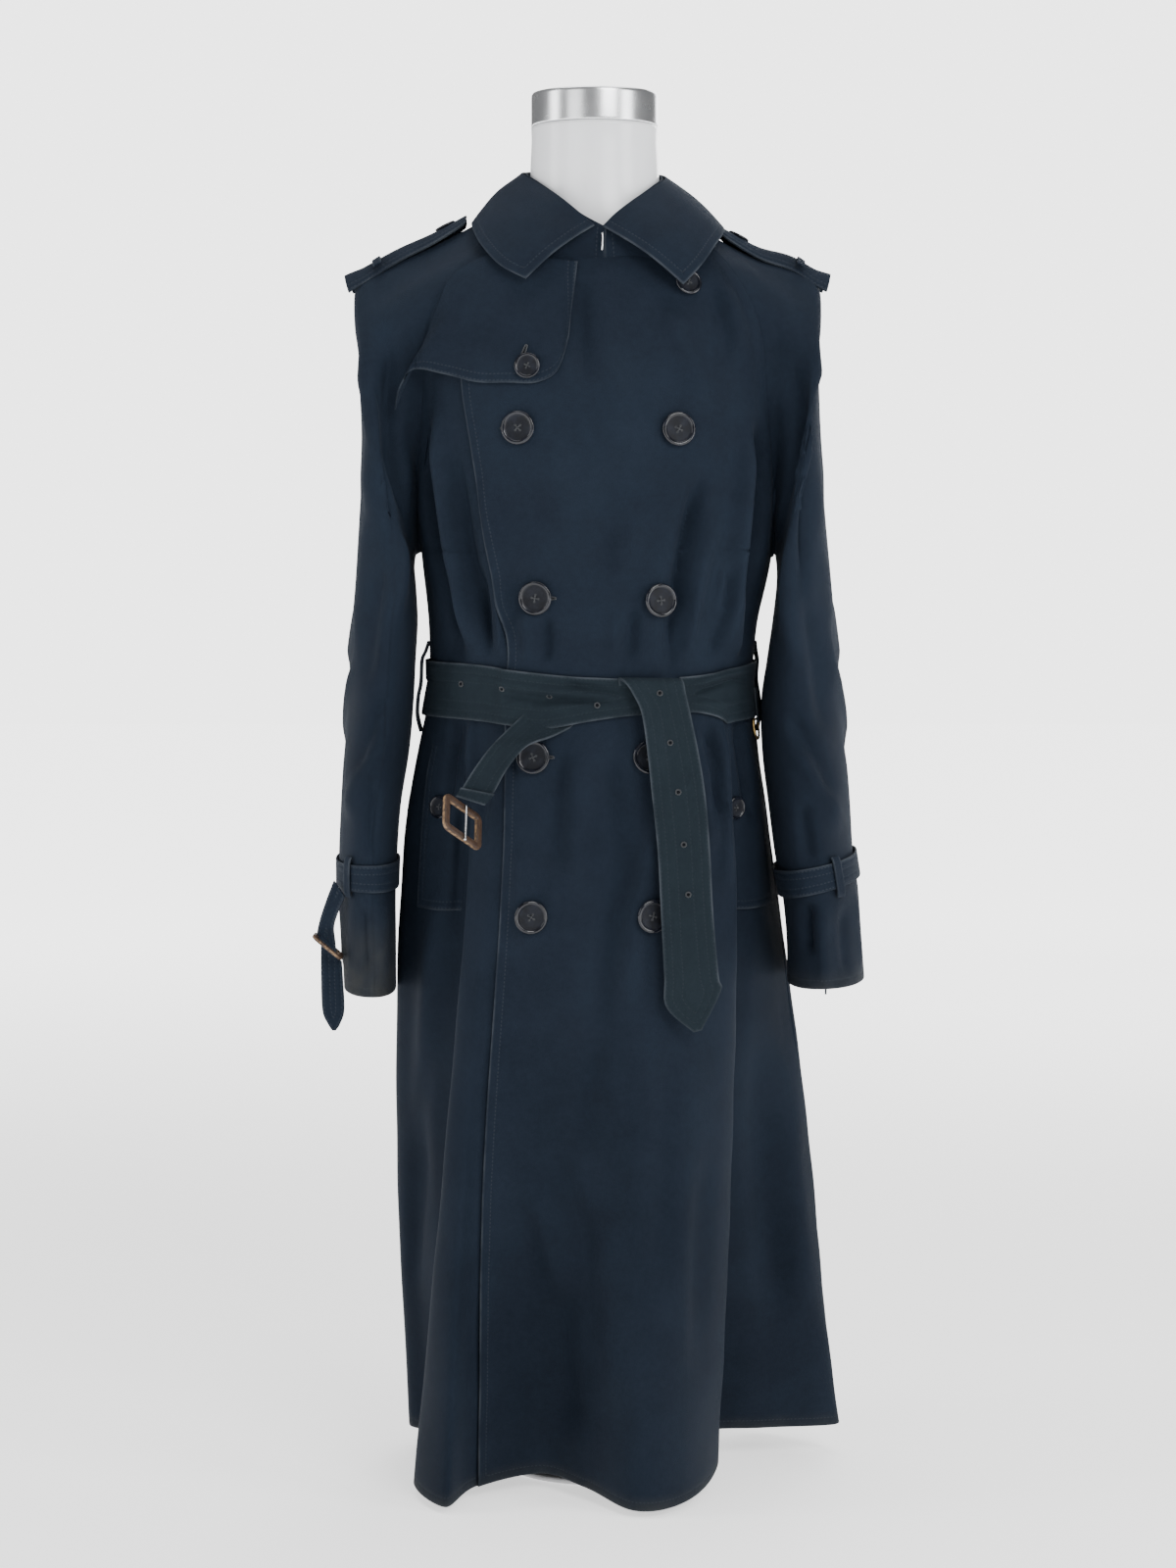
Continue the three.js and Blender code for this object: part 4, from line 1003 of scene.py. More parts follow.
# how far the shoulder stands up near the neck, and at the sleeve head
PADDED = {"left": [0, 9], "right": [11, 13]}
# how far up each cuff is faded, and how much
FADED_CUFF = {"left": [22, 0.5], "right": [90, 0.8]}
# columns of points round a sleeve
SLEEVE_COLUMNS = 117


def padding(side, points):
    """How far the padded shoulder stands up at these points."""
    away = np.abs(points[..., 0])
    near, far = PADDED[side]
    rise = near + (far - near) * smooth((away - 145) / 40)
    return rise * smooth((244 - away) / 30) * smooth((52 - np.abs(points[..., 1])) / 40)


for side, hand in HANDS.items():
    grid = refine(SLEEVE_GRID[side], 200, SLEEVE_COLUMNS, closed=True)
    grid[..., 2] += padding(side, grid) * smooth((grid[..., 2] - 1040) / 40)
    _, away, out = seam_ring(hand)
    tucked_in = resample(away * 9 + out * 3, np.linspace(0, ROUND, SLEEVE_COLUMNS), 0, closed=True)
    grid = outward(np.concatenate([grid[:1] - tucked_in, grid]), (hand * 190, 0, 760))
    grid = creased(grid, SLEEVE_CREASES[side], strength=2.0)
    mirrored = np.array(ELBOW_CREASES, float) * [hand, 1, hand, 1, hand, 1, 1]
    grid = creased(grid, mirrored, side=1)
    grid = creased(grid, SIDE_CREASES, across=1, side=hand, strength=0.9)
    grid[:, -1] = grid[:, 0]
    sleeve = cloth(f"sleeve_{side}_cloth", grid, coat_cloth, f"sleeve_{side}", edges=("bottom",),
                   fade=hem_fade(grid, *FADED_CUFF[side]))

# The collar is a leaf on a stand: the leaf folds over and lies on the shoulders, and its front
# edges part at the throat, where a small plated hook is sewn to the stand.
# fold x y z, outer edge x y z, bearing of the neck seam under it
COLLAR = [
    [0, -89, 1149, -61, -102, 1101, -3],
    [-16, -80, 1163, -84, -93, 1114, -16],
    [-32, -65, 1177, -101, -70, 1134, -32],
    [-51, -38, 1192, -109, -34, 1152, -54],
    [-63.3, -6, 1203, -108, 8, 1161, -84],
    [-60, 34, 1209, -90, 56, 1160, -120],
    [-34, 62, 1212, -50, 88, 1150, -152],
    [0, 70, 1213, 0, 98, 1146, -180],
    [34, 62, 1212, 50, 88, 1150, -208],
    [58, 34, 1207, 92, 56, 1158, -240],
    [62.5, -6, 1199, 112, 6, 1157, -276],
    [52, -38, 1188, 115, -34, 1148, -306],
    [32, -65, 1172, 106, -68, 1132, -326],
    [18, -79, 1160, 94, -91, 1114, -341],
    [7, -88, 1148, 78, -103, 1096, -357.5],
]
COLLAR_COLUMNS = 141
stations = resample(COLLAR, np.linspace(0, len(COLLAR) - 1, COLLAR_COLUMNS), 0)
folded_edge, outer_edge = stations[:, 0:3], stations[:, 3:6]
from_neck = unit((folded_edge - (0, 4, 0)) * (1, 1, 0))


def leaf_row(t):
    """One row of the leaf, from its fold (0) to its outer edge (1)."""
    roll = 3.5 * math.sin(math.pi * t)
    flat = folded_edge + (outer_edge - folded_edge) * t + from_neck * 1.6
    return flat + from_neck * roll + np.array([0, 0, roll])


leaf = np.array([leaf_row(t) for t in np.linspace(0, 1, 34)])
leaf = rumpled(outward(leaf, (0, 0, 1130)), 24, 0.35, 8)
collar = cloth("collar_leaf", leaf, coat_cloth, "collar", edges=("left", "right", "bottom"))
turn = stations[:, 6]
about = np.abs((turn + 180) % 360 - 180)
beside = smooth((about - 40) / 15) * smooth((140 - about) / 15)
seam_z = read(NECKLINE, 1, about) * (1 - beside) + 1160.5 * beside
lapped = smooth(1 - np.arange(COLLAR_COLUMNS) / 9)
low = torso(turn + 5.4 * lapped, seam_z)
low[:, 1] -= (LAP + 0.5) * smooth((60 - about) / 20)
low[:, 2] -= 2.4
high = folded_edge - from_neck * 1.2 + np.stack([10 * lapped, 0.4 * lapped, -2 * lapped], 1)
stand = np.array([high + (low - high) * t for t in np.linspace(0, 1, 16)])
collar_stand = cloth("collar_stand_cloth", outward(stand, (0, 0, 1160)), coat_cloth, "collar_stand",
                     edges=("left", "right"))


def bar_rings(line, radius, sides, joined=False):
    """Rings round a line of points, for a round wire."""
    line = np.asarray(line, float)
    along = unit(np.roll(line, -1, 0) - np.roll(line, 1, 0) if joined else np.gradient(line, axis=0))
    side = unit(np.cross((0.13, 0.97, 0.21), along))
    lift = np.cross(along, side)
    a = np.linspace(0, TAU, sides + 1)[None, :, None]
    rings = line[:, None] + radius * (np.cos(a) * side[:, None] + np.sin(a) * lift[:, None])
    return np.concatenate([rings, rings[:1]]) if joined else rings


def wire(name, line, radius, steps, joined=False):
    """A round wire along a smooth line through a few points."""
    line = np.array(line, float)[:, None]
    last = len(line) if joined else len(line) - 1
    fine = resample(line, np.linspace(0, last, steps, endpoint=not joined), 0, joined)[:, 0]
    return skin(name, bar_rings(fine, radius, 12, joined), caps=not joined)


plated_wire = bright_plate()
HOOK = [(6.3, -87.9, 1127), (6.6, -88.7, 1131), (6.8, -89.2, 1137), (6.7, -88.5, 1142), (6.6, -88.1, 1140)]
hook = wire("hook_wire", HOOK, 0.8, 24)
placed(hook, "throat_hook", plated_wire)

# The gun flap is a lined shield on the wearer's right shoulder, caught in the neck seam and the
# raglan seam, and buttoned down at its front corner.
# lower edge x z lift, upper edge x z, in steps across
FLAP = [
    [-171, 988, 9, -129, 1098],
    [-164, 1008, 13, -119, 1107],
    [-151, 1023, 15, -107, 1114],
    [-130, 1018, 10, -93, 1120],
    [-102, 1010, 7, -76, 1122],
    [-75, 1009, 6.4, -58, 1121],
    [-50, 1009, 6.4, -42, 1118],
    [-32, 1020, 6.4, -27, 1116],
    [-23, 1050, 6.4, -15, 1115],
]


def chest(x, z, lift):
    """A point on the front of the bodice at a given x and height, moved out."""
    x, z, lift = np.broadcast_arrays(*(np.asarray(v, float) for v in (x, z, lift)))
    seam = read(RAGLAN, 1, z) - 2
    beyond = np.maximum(0, np.abs(x) - seam)
    share = np.minimum(np.abs(x), seam) / read(TORSO, 2, z)
    turned_by = np.sign(x) * np.degrees(np.arcsin(np.minimum(1, share) ** (1 / read(TORSO, 5, z))))
    at = np.stack([x, torso(turned_by, z)[..., 1] - 0.5 * beyond, z], -1)
    return at + torso_out(turned_by, z) * lift[..., None]


flap_line = resample(FLAP, np.linspace(0, len(FLAP) - 1, 90), 0)
FLAP_LIFT = 6.4
rows = []
for t in np.linspace(1, 0, 60):
    x = flap_line[:, 0] + (flap_line[:, 3] - flap_line[:, 0]) * t
    z = flap_line[:, 1] + (flap_line[:, 4] - flap_line[:, 1]) * t
    lift = flap_line[:, 2] + (FLAP_LIFT - flap_line[:, 2]) * smooth(t * 1.6)
    rows.append(chest(x, z, lift))
flap = rumpled(np.array(rows), 26, 0.3, 11)
double_rows = woven("navy_cotton_twice_stitched", NAVY_DARK, NAVY_LIGHT, rows=(2.2, 8.0))
gun_flap = cloth("gun_flap_cloth", flap, double_rows, "gun_flap", edges=("right", "bottom"))

# Epaulettes are stitched straps of the coat's cloth, laid over the shoulders. Each passes under
# a sewn loop near its outer end, and is buttoned down near the neck.
# share of the way down the sleeve, half width, lift
EPAULETTE = [
    [0.62, 12, 8.2],
    [0.72, 20, 7.2],
    [1.2, 22, 5.7],
    [1.8, 24, 4.2],
    [2.4, 26, 4.0],
    [2.8, 27, 4.4],
    [3, 27, 5.2],
]


def on_sleeve(side, r, c):
    """A point on the sleeve's coarse grid, r rows down and c columns round."""
    grid = SLEEVE_GRID[side]
    i, j = min(len(grid) - 2, int(r)), int(math.floor(c))
    wide = [grid[i + n][j % ROUND] * (1 - c + j) + grid[i + n][(j + 1) % ROUND] * (c - j) for n in (0, 1)]
    return wide[0] * (1 - r + i) + wide[1] * (r - i)


def sleeve_out(side, r, c):
    around = on_sleeve(side, r, c + 0.4) - on_sleeve(side, r, c - 0.4)
    down = on_sleeve(side, min(r + 0.4, 15), c) - on_sleeve(side, max(0, r - 0.4), c)
    return unit(np.cross(down, around) * HANDS[side])


def off_sleeve(side, r, c, lift):
    return on_sleeve(side, r, c) + sleeve_out(side, r, c) * lift


def shoulder_strip(side, rows):
    """Coarse grid of a strap on the shoulder."""
    grid = []
    for r, half, lift in rows:
        row = []
        for k in (-1, -0.5, 0, 0.5, 1):
            lo, hi = 5.0, 14.0
            for _ in range(24):
                mid = (lo + hi) / 2
                lo, hi = (mid, hi) if on_sleeve(side, r, mid)[1] < k * half else (lo, mid)
            row.append(off_sleeve(side, r, lo, lift))
        grid.append(row)
    return np.array(grid)


for side, hand in HANDS.items():
    under_strap = (hand * 120, 0, 900)
    strap = refine(shoulder_strip(side, EPAULETTE), 60, 34)
    strap[..., 2] += padding(side, strap * [1, 0, 1])
    across_it = np.linspace(-1, 1, 34)[None, :]
    down_it = np.linspace(0, 1, 60)[:, None]
    strap[..., 2] += (1 - across_it**2) * (5 + 5 * down_it) - 3 * smooth(-across_it) * down_it
    strap[..., 0] += hand * 7 * smooth((down_it - 0.8) / 0.2) * (1 - 0.6 * across_it**2)
    for _ in range(6):
        strap[1:-1] = (strap[:-2] + strap[1:-1] * 2 + strap[2:]) / 4
        strap[:, 1:-1] = (strap[:, :-2] + strap[:, 1:-1] * 2 + strap[:, 2:]) / 4
    epaulette = cloth(f"epaulette_{side}_cloth", outward(strap, under_strap), double_rows,
                      f"epaulette_{side}", edges=("left", "right", "top"))
    loop = refine(shoulder_strip(side, [[2.3, 29, 6.6], [2.5, 29, 6.6]]), 8, 34) + [0, 0, 6]
    loop[..., 2] += padding(side, loop * [1, 0, 1])
    keeper = cloth(f"keeper_{side}_cloth", outward(loop, under_strap), coat_cloth, f"keeper_{side}",
                   edges=("top", "bottom"))

# Pockets open at slanted welts of folded cloth on the sides, stitched all round.
# Each welt is sewn flat along one long edge, and has a button in the middle.
# lines at the lower end, how far they shift by the upper end
welts = {}
POCKET_EDGE = {"right": "left", "left": "right"}
WELT_HEIGHTS = (704, 664, 622, 580, 538)
POCKETS = {
    "right": [[-3.3, -3.6, -3.9, -4.2, -4.5, -4.8], 0.05, 1.1],
    "left": [[6.3, 6.65, 7, 7.35, 7.7, 8], -0.75, 0],
}


def on_pocket(side, q, z, lift):
    over = over_lift(q) if side == "left" else 0
    return off_coat(q, z, lift + over - 0.6 * POCKETS[side][2])


for side in HANDS:
    lines, slant, _ = POCKETS[side]
    coarse = []
    for r, z in enumerate(WELT_HEIGHTS):
        lift = [3 - 4.4 * max(c < 1, r < 1) for c in range(len(lines))]
        coarse.append([on_pocket(side, q + slant * (4 - r) / 4, z, k) for q, k in zip(lines, lift)])
    welt = outward(refine(coarse, 90, 40), (0, 0, 620))
    welts[side] = creased(welt, FRONT_CREASES, strength=CREASE_STRENGTH)
    pocket = cloth(f"pocket_{side}_cloth", welts[side], double_rows, f"pocket_{side}",
                   edges=(POCKET_EDGE[side], "bottom"))

# Belt of the coat's cloth, with rows of stitching and sewn eyelets, tied in front.
# One end falls over the top of the knot, and the other comes out below it with the buckle.
# half the belt's width, how far it stands off the coat, and the thickness of its loose ends
BELT_HALF = 25
BELT_LIFT = 3.8
BELT_CLOTH = 2.4
belt_cloth = woven("belt_cotton", (0.0052, 0.0092, 0.0130), (0.0088, 0.0142, 0.0188),
                   rows=(2.2, 8.0, 16.5), worn=0.7, thread_shows=0.16)
# folds that the knot draws along the belt: across, height, across, height, bow, half width, depth
BELT_CREASES = [
    [-118, 752, 20, 736, 3, 3.5, 2.2],
    [-90, 738, 24, 730, 2, 3, -2.4],
    [-60, 722, 16, 728, -2, 3, 2.0],
    [-30, 748, 26, 738, 1, 2.6, -2.0],
    [82, 742, 138, 756, -2, 3, 2.6],
    [84, 736, 140, 748, -2, 2.6, -2.4],
    [84, 728, 130, 726, 0, 3, 1.6],
]


def belt_middle(q):
    """Height of the belt's middle: it dips at the knot, on fold line 3."""
    from_knot = np.abs((q - 3 + FOLDS / 2) % FOLDS - FOLDS / 2)
    return 738 - 11 * np.exp(-((from_knot / 3.2) ** 2))


def belt_point(q, z):
    line = q % FOLDS
    lift = over_lift(line) * smooth((line + 0.6) / 0.6)
    lift = lift + np.where(line > 25.4, LAP * smooth((line - 25.4) / 0.6), 0)
    return off_coat(q, z, lift + BELT_LIFT)


q = np.linspace(4.1, 3.4 + FOLDS, 400)[None, :]
knotted = smooth((q - 27.0) / 2.2) + smooth((6.0 - q) / 1.8)
half = BELT_HALF - 8.5 * knotted
z = belt_middle(q) + 7 * knotted + np.linspace(1, -1, 22)[:, None] * half
belt_grid = belt_point(np.broadcast_to(q, z.shape), z)
belt_grid = rumpled(creased(belt_grid, BELT_CREASES), 22, 0.5, 21)
belt = cloth("belt_band", belt_grid, belt_cloth, "belt", edges=("top", "bottom"))
# the free end: height, left x, right x, y
TAIL = [
    [742, 22, 72, -120.6],
    [751, 21, 75, -125.6],
    [748, 26, 78, -131.5],
    [738, 33, 80, -134],
    [720, 41, 84, -138],
    [686, 46, 91, -144],
    [648, 50, 97, -146.5],
    [600, 55, 101, -147.5],
    [545, 58, 104, -148],
    [490, 61, 109, -148],
]


def across_strip(left, right):
    left, right = np.asarray(left, float), np.asarray(right, float)
    return [left + (right - left) * k for k in (0, 1 / 3, 2 / 3, 1)]


def strip(table, rows, cols, inside):
    """Points of a strip whose left and right edges are given, facing away from a point inside."""
    coarse = [across_strip(row[:3], row[3:]) for row in table]
    return outward(refine(coarse, rows, cols), inside)


tail_rows = [[left, y, z, right, y, z] for z, left, right, y in TAIL]
tail_rows += [[63, -148, 462, 111, -148, 477], [87, -148, 440, 94, -148, 442]]
tail = rumpled(strip(tail_rows, 150, 24, (60, 0, 600)), 24, 0.4, 22)
belt_tail = cloth("belt_tail_band", tail, belt_cloth, "belt_tail",
                  edges=("left", "right", "bottom"), thick=BELT_CLOTH)
# the end with the buckle, and its sewn loop: left edge x y z, right edge x y z
BELT_END = [
    [-46, -118.4, 736, 10, -118.4, 726],
    [-62, -120.4, 720, -10, -120.8, 714],
    [-78, -129, 705, -34, -131, 702],
    [-92, -139, 691, -58, -139, 693],
    [-106, -141, 672, -76, -141, 673],
    [-116, -142, 656, -88, -142, 652],
    [-121, -142, 647, -98, -142, 640],
]
BELT_KEEPER = [
    [-117.5, -145, 656, -87.5, -145, 650],
    [-122, -145, 648, -96.5, -145, 640],
]
belt_end = cloth("belt_end_band", strip(BELT_END, 70, 22, (-60, -60, 690)), belt_cloth, "belt_end",
                 edges=("left", "right"), thick=BELT_CLOTH)
belt_keeper = cloth("belt_keeper_band", strip(BELT_KEEPER, 8, 22, (-100, -60, 650)), belt_cloth,
                    "belt_keeper", edges=("top", "bottom"), thick=BELT_CLOTH)

# Belt loops are narrow folded strips of the coat's cloth, sewn to the sides at both ends.
# They hold the belt, and stand off the coat where it is slack.
# height, share of how far they stand out
LOOP = [
    [780, 0],
    [771, 0.35],
    [762, 0.75],
    [745, 0.95],
    [727, 1],
    [712, 0.78],
    [703, 0.4],
    [696, 0],
]
for side, line, reach in (("left", 8.7, 5.8), ("right", -6.4, 9)):
    rows = []
    for z, lift in LOOP:
        q = line + np.array([-0.16, 0, 0.16])
        rows.append(off_coat(q, z, 2 + lift * reach))
    loop = refine(rows, 50, 8)
    belt_loop = cloth(f"belt_loop_{side}_cloth", outward(loop, (0, 0, 740)), coat_cloth, f"belt_loop_{side}",
                      edges=("left", "right"), thick=3.0)

# A D-ring of dull brass hangs at the wearer's left, on the fold line named here.
# It is held by a small tab of the belt's cloth, which is sewn to the belt.
RING_LINE = 7.78
tab_rows = [[off_coat(RING_LINE + k, z, lift) for k in (-0.2, 0, 0.2)]
            for z, lift in ((738, 6), (726, 6), (714, 6.2), (706, 6.6))]
tab = cloth("ring_tab_cloth", outward(refine(tab_rows, 22, 10), (0, 0, 720)), belt_cloth, "ring_tab",
            edges=("left", "right", "bottom"), thick=1.4)
# across in fold lines, height, lift
RING = [(-0.38, 709, 3.1), (0, 709, 3.1), (0.38, 709, 3.1), (0.4, 702, 3.2), (0.3, 695, 3.4),
        (0, 691, 3.6), (-0.3, 695, 3.4), (-0.4, 702, 3.2)]


def dull_brass():
    finish = Finish("dull_brass", Metallic=1.0)
    tarnish = finish.noise(400.0, 3)
    finish.colour(finish.blend(tarnish.ramp(0.4, 0.7), (0.56, 0.39, 0.15), (0.30, 0.19, 0.08)))
    finish.rough(0.24 + 0.3 * tarnish)
    return finish.material


ring_path = [off_coat(RING_LINE + k, z, lift) for k, z, lift in RING]
placed(wire("d_ring_wire", ring_path, 1.1, 56, joined=True), "d_ring", dull_brass())

# Straps run round the cuffs through sewn loops. The wearer's right one hangs open from its
# loop, and the left one is buckled behind the cuff.
for side, hand in HANDS.items():
    rows = [[off_sleeve(side, r, c, 2.9) for c in range(ROUND)] for r in (12.1, 12.45, 12.8)]
    grid = outward(refine(rows, 14, 150, closed=True), np.mean(rows[1], axis=0))
    grid[..., 2] += 6 * (hand * grid[..., 0] - 205) / 35 * (side == "left")
    grid[:, -1] = grid[:, 0]
    strap = cloth(f"cuff_strap_{side}_cloth", grid, double_rows, f"cuff_strap_{side}",
                  edges=("top", "bottom"), thick=1.9)
    rows = [[off_sleeve(side, r, c, lift) for c in (6, 6.3, 6.6)]
            for r, lift in ((11.92, 3.4), (12.1, 5.4), (12.8, 5.4), (12.98, 3.4))]
    grid = outward(refine(rows, 30, 10), (hand * 205, 0, 560))
    loop = cloth(f"cuff_loop_{side}_cloth", grid, coat_cloth, f"cuff_loop_{side}", edges=("left", "right"),
                 thick=1.5)
# left edge x y z, right edge x y z
DROP = [
    [-235.4, -68, 566, -225.2, -74.8, 552],
    [-242, -68, 549, -231, -72, 539],
    [-248, -64, 532, -236, -68, 523],
    [-251, -61, 520, -235, -62, 508],
    [-252, -60, 512, -234, -60, 498],
]
RIGHT_TAIL = [
    [-248, -60, 505.4, -229, -60, 491.4],
    [-248, -61, 480, -228, -61, 474],
    [-247, -61, 447, -227, -61, 447],
    [-242, -61, 434, -231, -61, 434],
    [-238, -61, 428, -235, -61, 428],
]
LEFT_TAIL = [
    [219, 72, 554.6, 222, 90, 551],
    [220, 74, 520, 223, 93, 518],
    [220, 75, 470, 223, 94, 468],
    [221, 79, 450, 222, 91, 449],
    [221.5, 84, 440, 221.7, 87, 440],
]
for name, table, inside, flat in (
    ("cuff_drop_right", DROP, (-200, 20, 540), (0.018, 0.06)),
    ("cuff_tail_right", RIGHT_TAIL, (-240, 20, 470), (0.022, 0.076)),
    ("cuff_tail_left", LEFT_TAIL, (0, 80, 500), (0.020, 0.114)),
):
    piece = cloth(f"{name}_cloth", strip(table, 50, 14, inside), double_rows, name,
                  edges=("left", "right", "bottom"))

# Buckles are metal frames covered in brown leather, worn to tan where they rub.
# They hang from the cloth of their straps, and the belt's one has a plated prong that swings.
FRAME_SIDES = 16


def frame_rings(at, wide, long, width, height, band, thick):
    """Rings round a frame with rounded corners, each a flattened round of band by thick."""
    wide, long = np.asarray(wide, float), np.asarray(long, float)
    out = np.cross(wide, long)
    corner = 7.5 - band / 2
    w, h = width / 2 - band / 2, height / 2 - band / 2
    path, aside = [], []
    for sx, sy, first in ((1, -1, -90), (1, 1, 0), (-1, 1, 90), (-1, -1, 180)):
        for step in range(9):
            a = math.radians(first + 90 * step / 8)
            path.append((sx * (w - corner) + corner * math.cos(a), sy * (h - corner) + corner * math.sin(a)))
            aside.append((math.cos(a), math.sin(a)))
    path, aside = np.array(path), np.array(aside)
    centre = np.asarray(at, float) + path[:, :1] * wide + path[:, 1:] * long
    away = aside[:, :1] * wide + aside[:, 1:] * long
    a = np.linspace(0, TAU, FRAME_SIDES + 1)[None, :, None]
    cos, sin = power(np.cos(a), 0.7), power(np.sin(a), 0.7)
    rings = centre[:, None] + away[:, None] * cos * band / 2 + out * sin * thick / 2
    return np.concatenate([rings, rings[:1]])


def brown_leather():
    finish = Finish("brown_leather", Coat_Weight=0.12, Coat_Roughness=0.3, Specular_IOR_Level=0.35)
    grain = finish.node("TexVoronoi", {"feature": "DISTANCE_TO_EDGE"},
                        {"Vector": finish.place(), "Scale": 900.0})
    patch = finish.noise(160.0, 4)
    scuff = finish.noise(300.0, 4).ramp(0.42, 0.6)
    rubbed = finish.value("rubbed").ramp(0.86, 1.0) * (0.12 + 0.88 * scuff) + scuff * 0.06
    hide = finish.blend(patch, (0.018, 0.0085, 0.0050), (0.050, 0.024, 0.012))
    finish.colour(finish.blend(rubbed.math("MINIMUM", 1), hide, (0.24, 0.145, 0.070)))
    finish.rough(0.42 + 0.2 * patch)
    finish.relief(grain.ramp(0.0, 0.12) + patch, 0.0002)
    return finish.material


leather = brown_leather()
BUCKLE_AT = np.array([-116, -150, 626.2])
WIDE = unit((0.62, 0.6, -0.5))
LONG = np.array([0, 0.64, 0.77])
LONG = unit(LONG - WIDE * LONG.dot(WIDE))
FACE = unit(np.cross(LONG, WIDE))
# place of the middle, direction of the width and of the height, both sizes, band, thickness
BUCKLES = {
    "belt_buckle": (BUCKLE_AT, WIDE, LONG, 50, 38, 7, 5),
    "cuff_buckle_right": ((-241.5, -60, 505), unit((0.77, 0, -0.64)), (0, 1, 0), 34, 28, 5, 3.6),
    "cuff_buckle_left": ((214, 71.5, 572), unit((1, 0.05, 0)), (0, 0, 1), 28, 34, 5, 3.2),
}
for name, sizes in BUCKLES.items():
    grid = frame_rings(*sizes)
    around = np.abs(np.cos(np.linspace(0, TAU, FRAME_SIDES + 1)))[None, :]
    obj = skin(f"{name}_leather", grid, {"rubbed": np.broadcast_to(around, grid.shape[:2])})
    bm = bmesh.new()
    bm.from_mesh(obj.data)
    bmesh.ops.recalc_face_normals(bm, faces=bm.faces)
    bm.to_mesh(obj.data)
    bm.free()
    placed(obj, name, leather)
# along the buckle, and out of its face
PRONG = [(16, 4.2), (8, 4.5), (-8, 4.4), (-21, 4)]
prong_line = [BUCKLE_AT + LONG * along - FACE * out for along, out in PRONG]
prong = wire("belt_prong_wire", prong_line, 1.2, 30)
placed(prong, "belt_prong", plated_wire, body="prong")

# Four-holed buttons of polished horn, nearly black, with a raised rim and a dished face.
# Each is sewn through its holes with navy thread.
# radius and height, for a button 30 mm across
PROFILE = [(0, 0), (9.6, 0), (12.6, 0.9), (14.5, 2.1), (15, 3.1), (14.8, 3.9), (14.1, 4.5), (13.2, 4.6),
           (12.2, 4.4), (11.5, 3.8), (10.9, 3.2), (10, 2.9), (6, 2.75), (0, 2.7)]


def polished_horn():
    finish = Finish("polished_horn", Coat_Roughness=0.07, Specular_IOR_Level=0.16)
    streak = finish.noise(120.0, 4)
    rim = finish.value("radius").ramp(0.7, 0.84)
    finish.colour(finish.blend(streak.ramp(0.35, 0.7), (0.0022, 0.0028, 0.0050), (0.0065, 0.0080, 0.0130)))
    finish.rough(0.55 + 0.1 * streak - 0.42 * rim)
    finish.set(finish.shader.inputs["Coat Weight"], rim * 0.45)
    finish.relief(finish.noise(90.0, 2), 0.00003)
    return finish.material


def sewing_thread():
    finish = Finish("sewing_thread", Sheen_Weight=0.2)
    strand = finish.noise(1800.0, 2)
    finish.colour(finish.blend(strand, (0.0025, 0.0040, 0.0060), (0.0065, 0.0090, 0.0130)))
    finish.rough(0.7 + 0.1 * strand)
    finish.relief(strand, 0.0002)
    return finish.material


horn = polished_horn()
thread = sewing_thread()


def button(name, at, out, diameter, turn=20.0):
    """A button at a point, facing out, and the thread through its four holes."""
    k = diameter / 30
    tall = max(k, 0.75)
    out = unit(out)
    profile = [(r * k, h * tall) for r, h in PROFILE]
    placed(turned(f"{name}_horn", profile, at, out, 48), name, horn)
    side = unit(np.cross(UP, out))
    up = np.cross(out, side)
    face = at + out * 2.75 * tall
    bm = bmesh.new()
    radius = 1.15 * k * MM
    # Each hole is a flat disc in the thread's dark colour. It stands for the thread in the hole and for the
    # painted shade of the hole.
    for n in range(4):
        a = math.radians(turn + 45 + 90 * n)
        to_hole = (side * math.cos(a) + up * math.sin(a)) * 3.1 * k
        made = bmesh.ops.create_cone(bm, cap_ends=True, segments=10, radius1=radius, radius2=radius,
                                     depth=0.12 * MM)
        for vert in made["verts"]:
            x, y, z = vert.co
            vert.co = (face + to_hole) * MM + side * x + up * y + out * (z + 0.06 * MM)
        if n > 1:
            continue
        line = [face + to_hole * s + out * (0.75 - 0.6 * abs(s)) for s in np.linspace(-1, 1, 9)]
        rings = bar_rings(line, 0.55 * k, 8)
        for row, nxt in zip(rings, rings[1:]):
            lower = [bm.verts.new(p * MM) for p in row[:-1]]
            upper = [bm.verts.new(p * MM) for p in nxt[:-1]]
            for m in range(len(lower)):
                e = (m + 1) % len(lower)
                bm.faces.new((lower[m], lower[e], upper[e], upper[m]))
    bmesh.ops.remove_doubles(bm, verts=bm.verts, dist=WELD)
    bmesh.ops.holes_fill(bm, edges=[edge for edge in bm.edges if edge.is_boundary])
    bmesh.ops.recalc_face_normals(bm, faces=bm.faces)
    placed(linked(f"{name}_thread", meshed(f"{name}_thread", bm)), None, thread)


def spot(grid, x, z):
    """The point of a cloth's front at a given x and height, and the direction out of it."""
    out = facing(grid)
    off = (grid[..., 0] - x) ** 2 + (grid[..., 2] - z) ** 2 + 1e6 * (out[..., 1] > 0)
    r, c = np.unravel_index(np.argmin(off), off.shape)
    r, c = max(1, min(r, grid.shape[0] - 2)), max(1, min(c, grid.shape[1] - 2))
    return grid[r, c] + np.array([x - grid[r, c, 0], 0, z - grid[r, c, 2]]), out[r, c]


def deep_shade():
    finish = Finish("deep_shade", Specular_IOR_Level=0.1)
    finish.colour(finish.blend(finish.noise(900.0, 2), (0.0015, 0.002, 0.003), (0.004, 0.005, 0.007)))
    finish.rough(0.9)
    return finish.material


hole_shade = deep_shade()


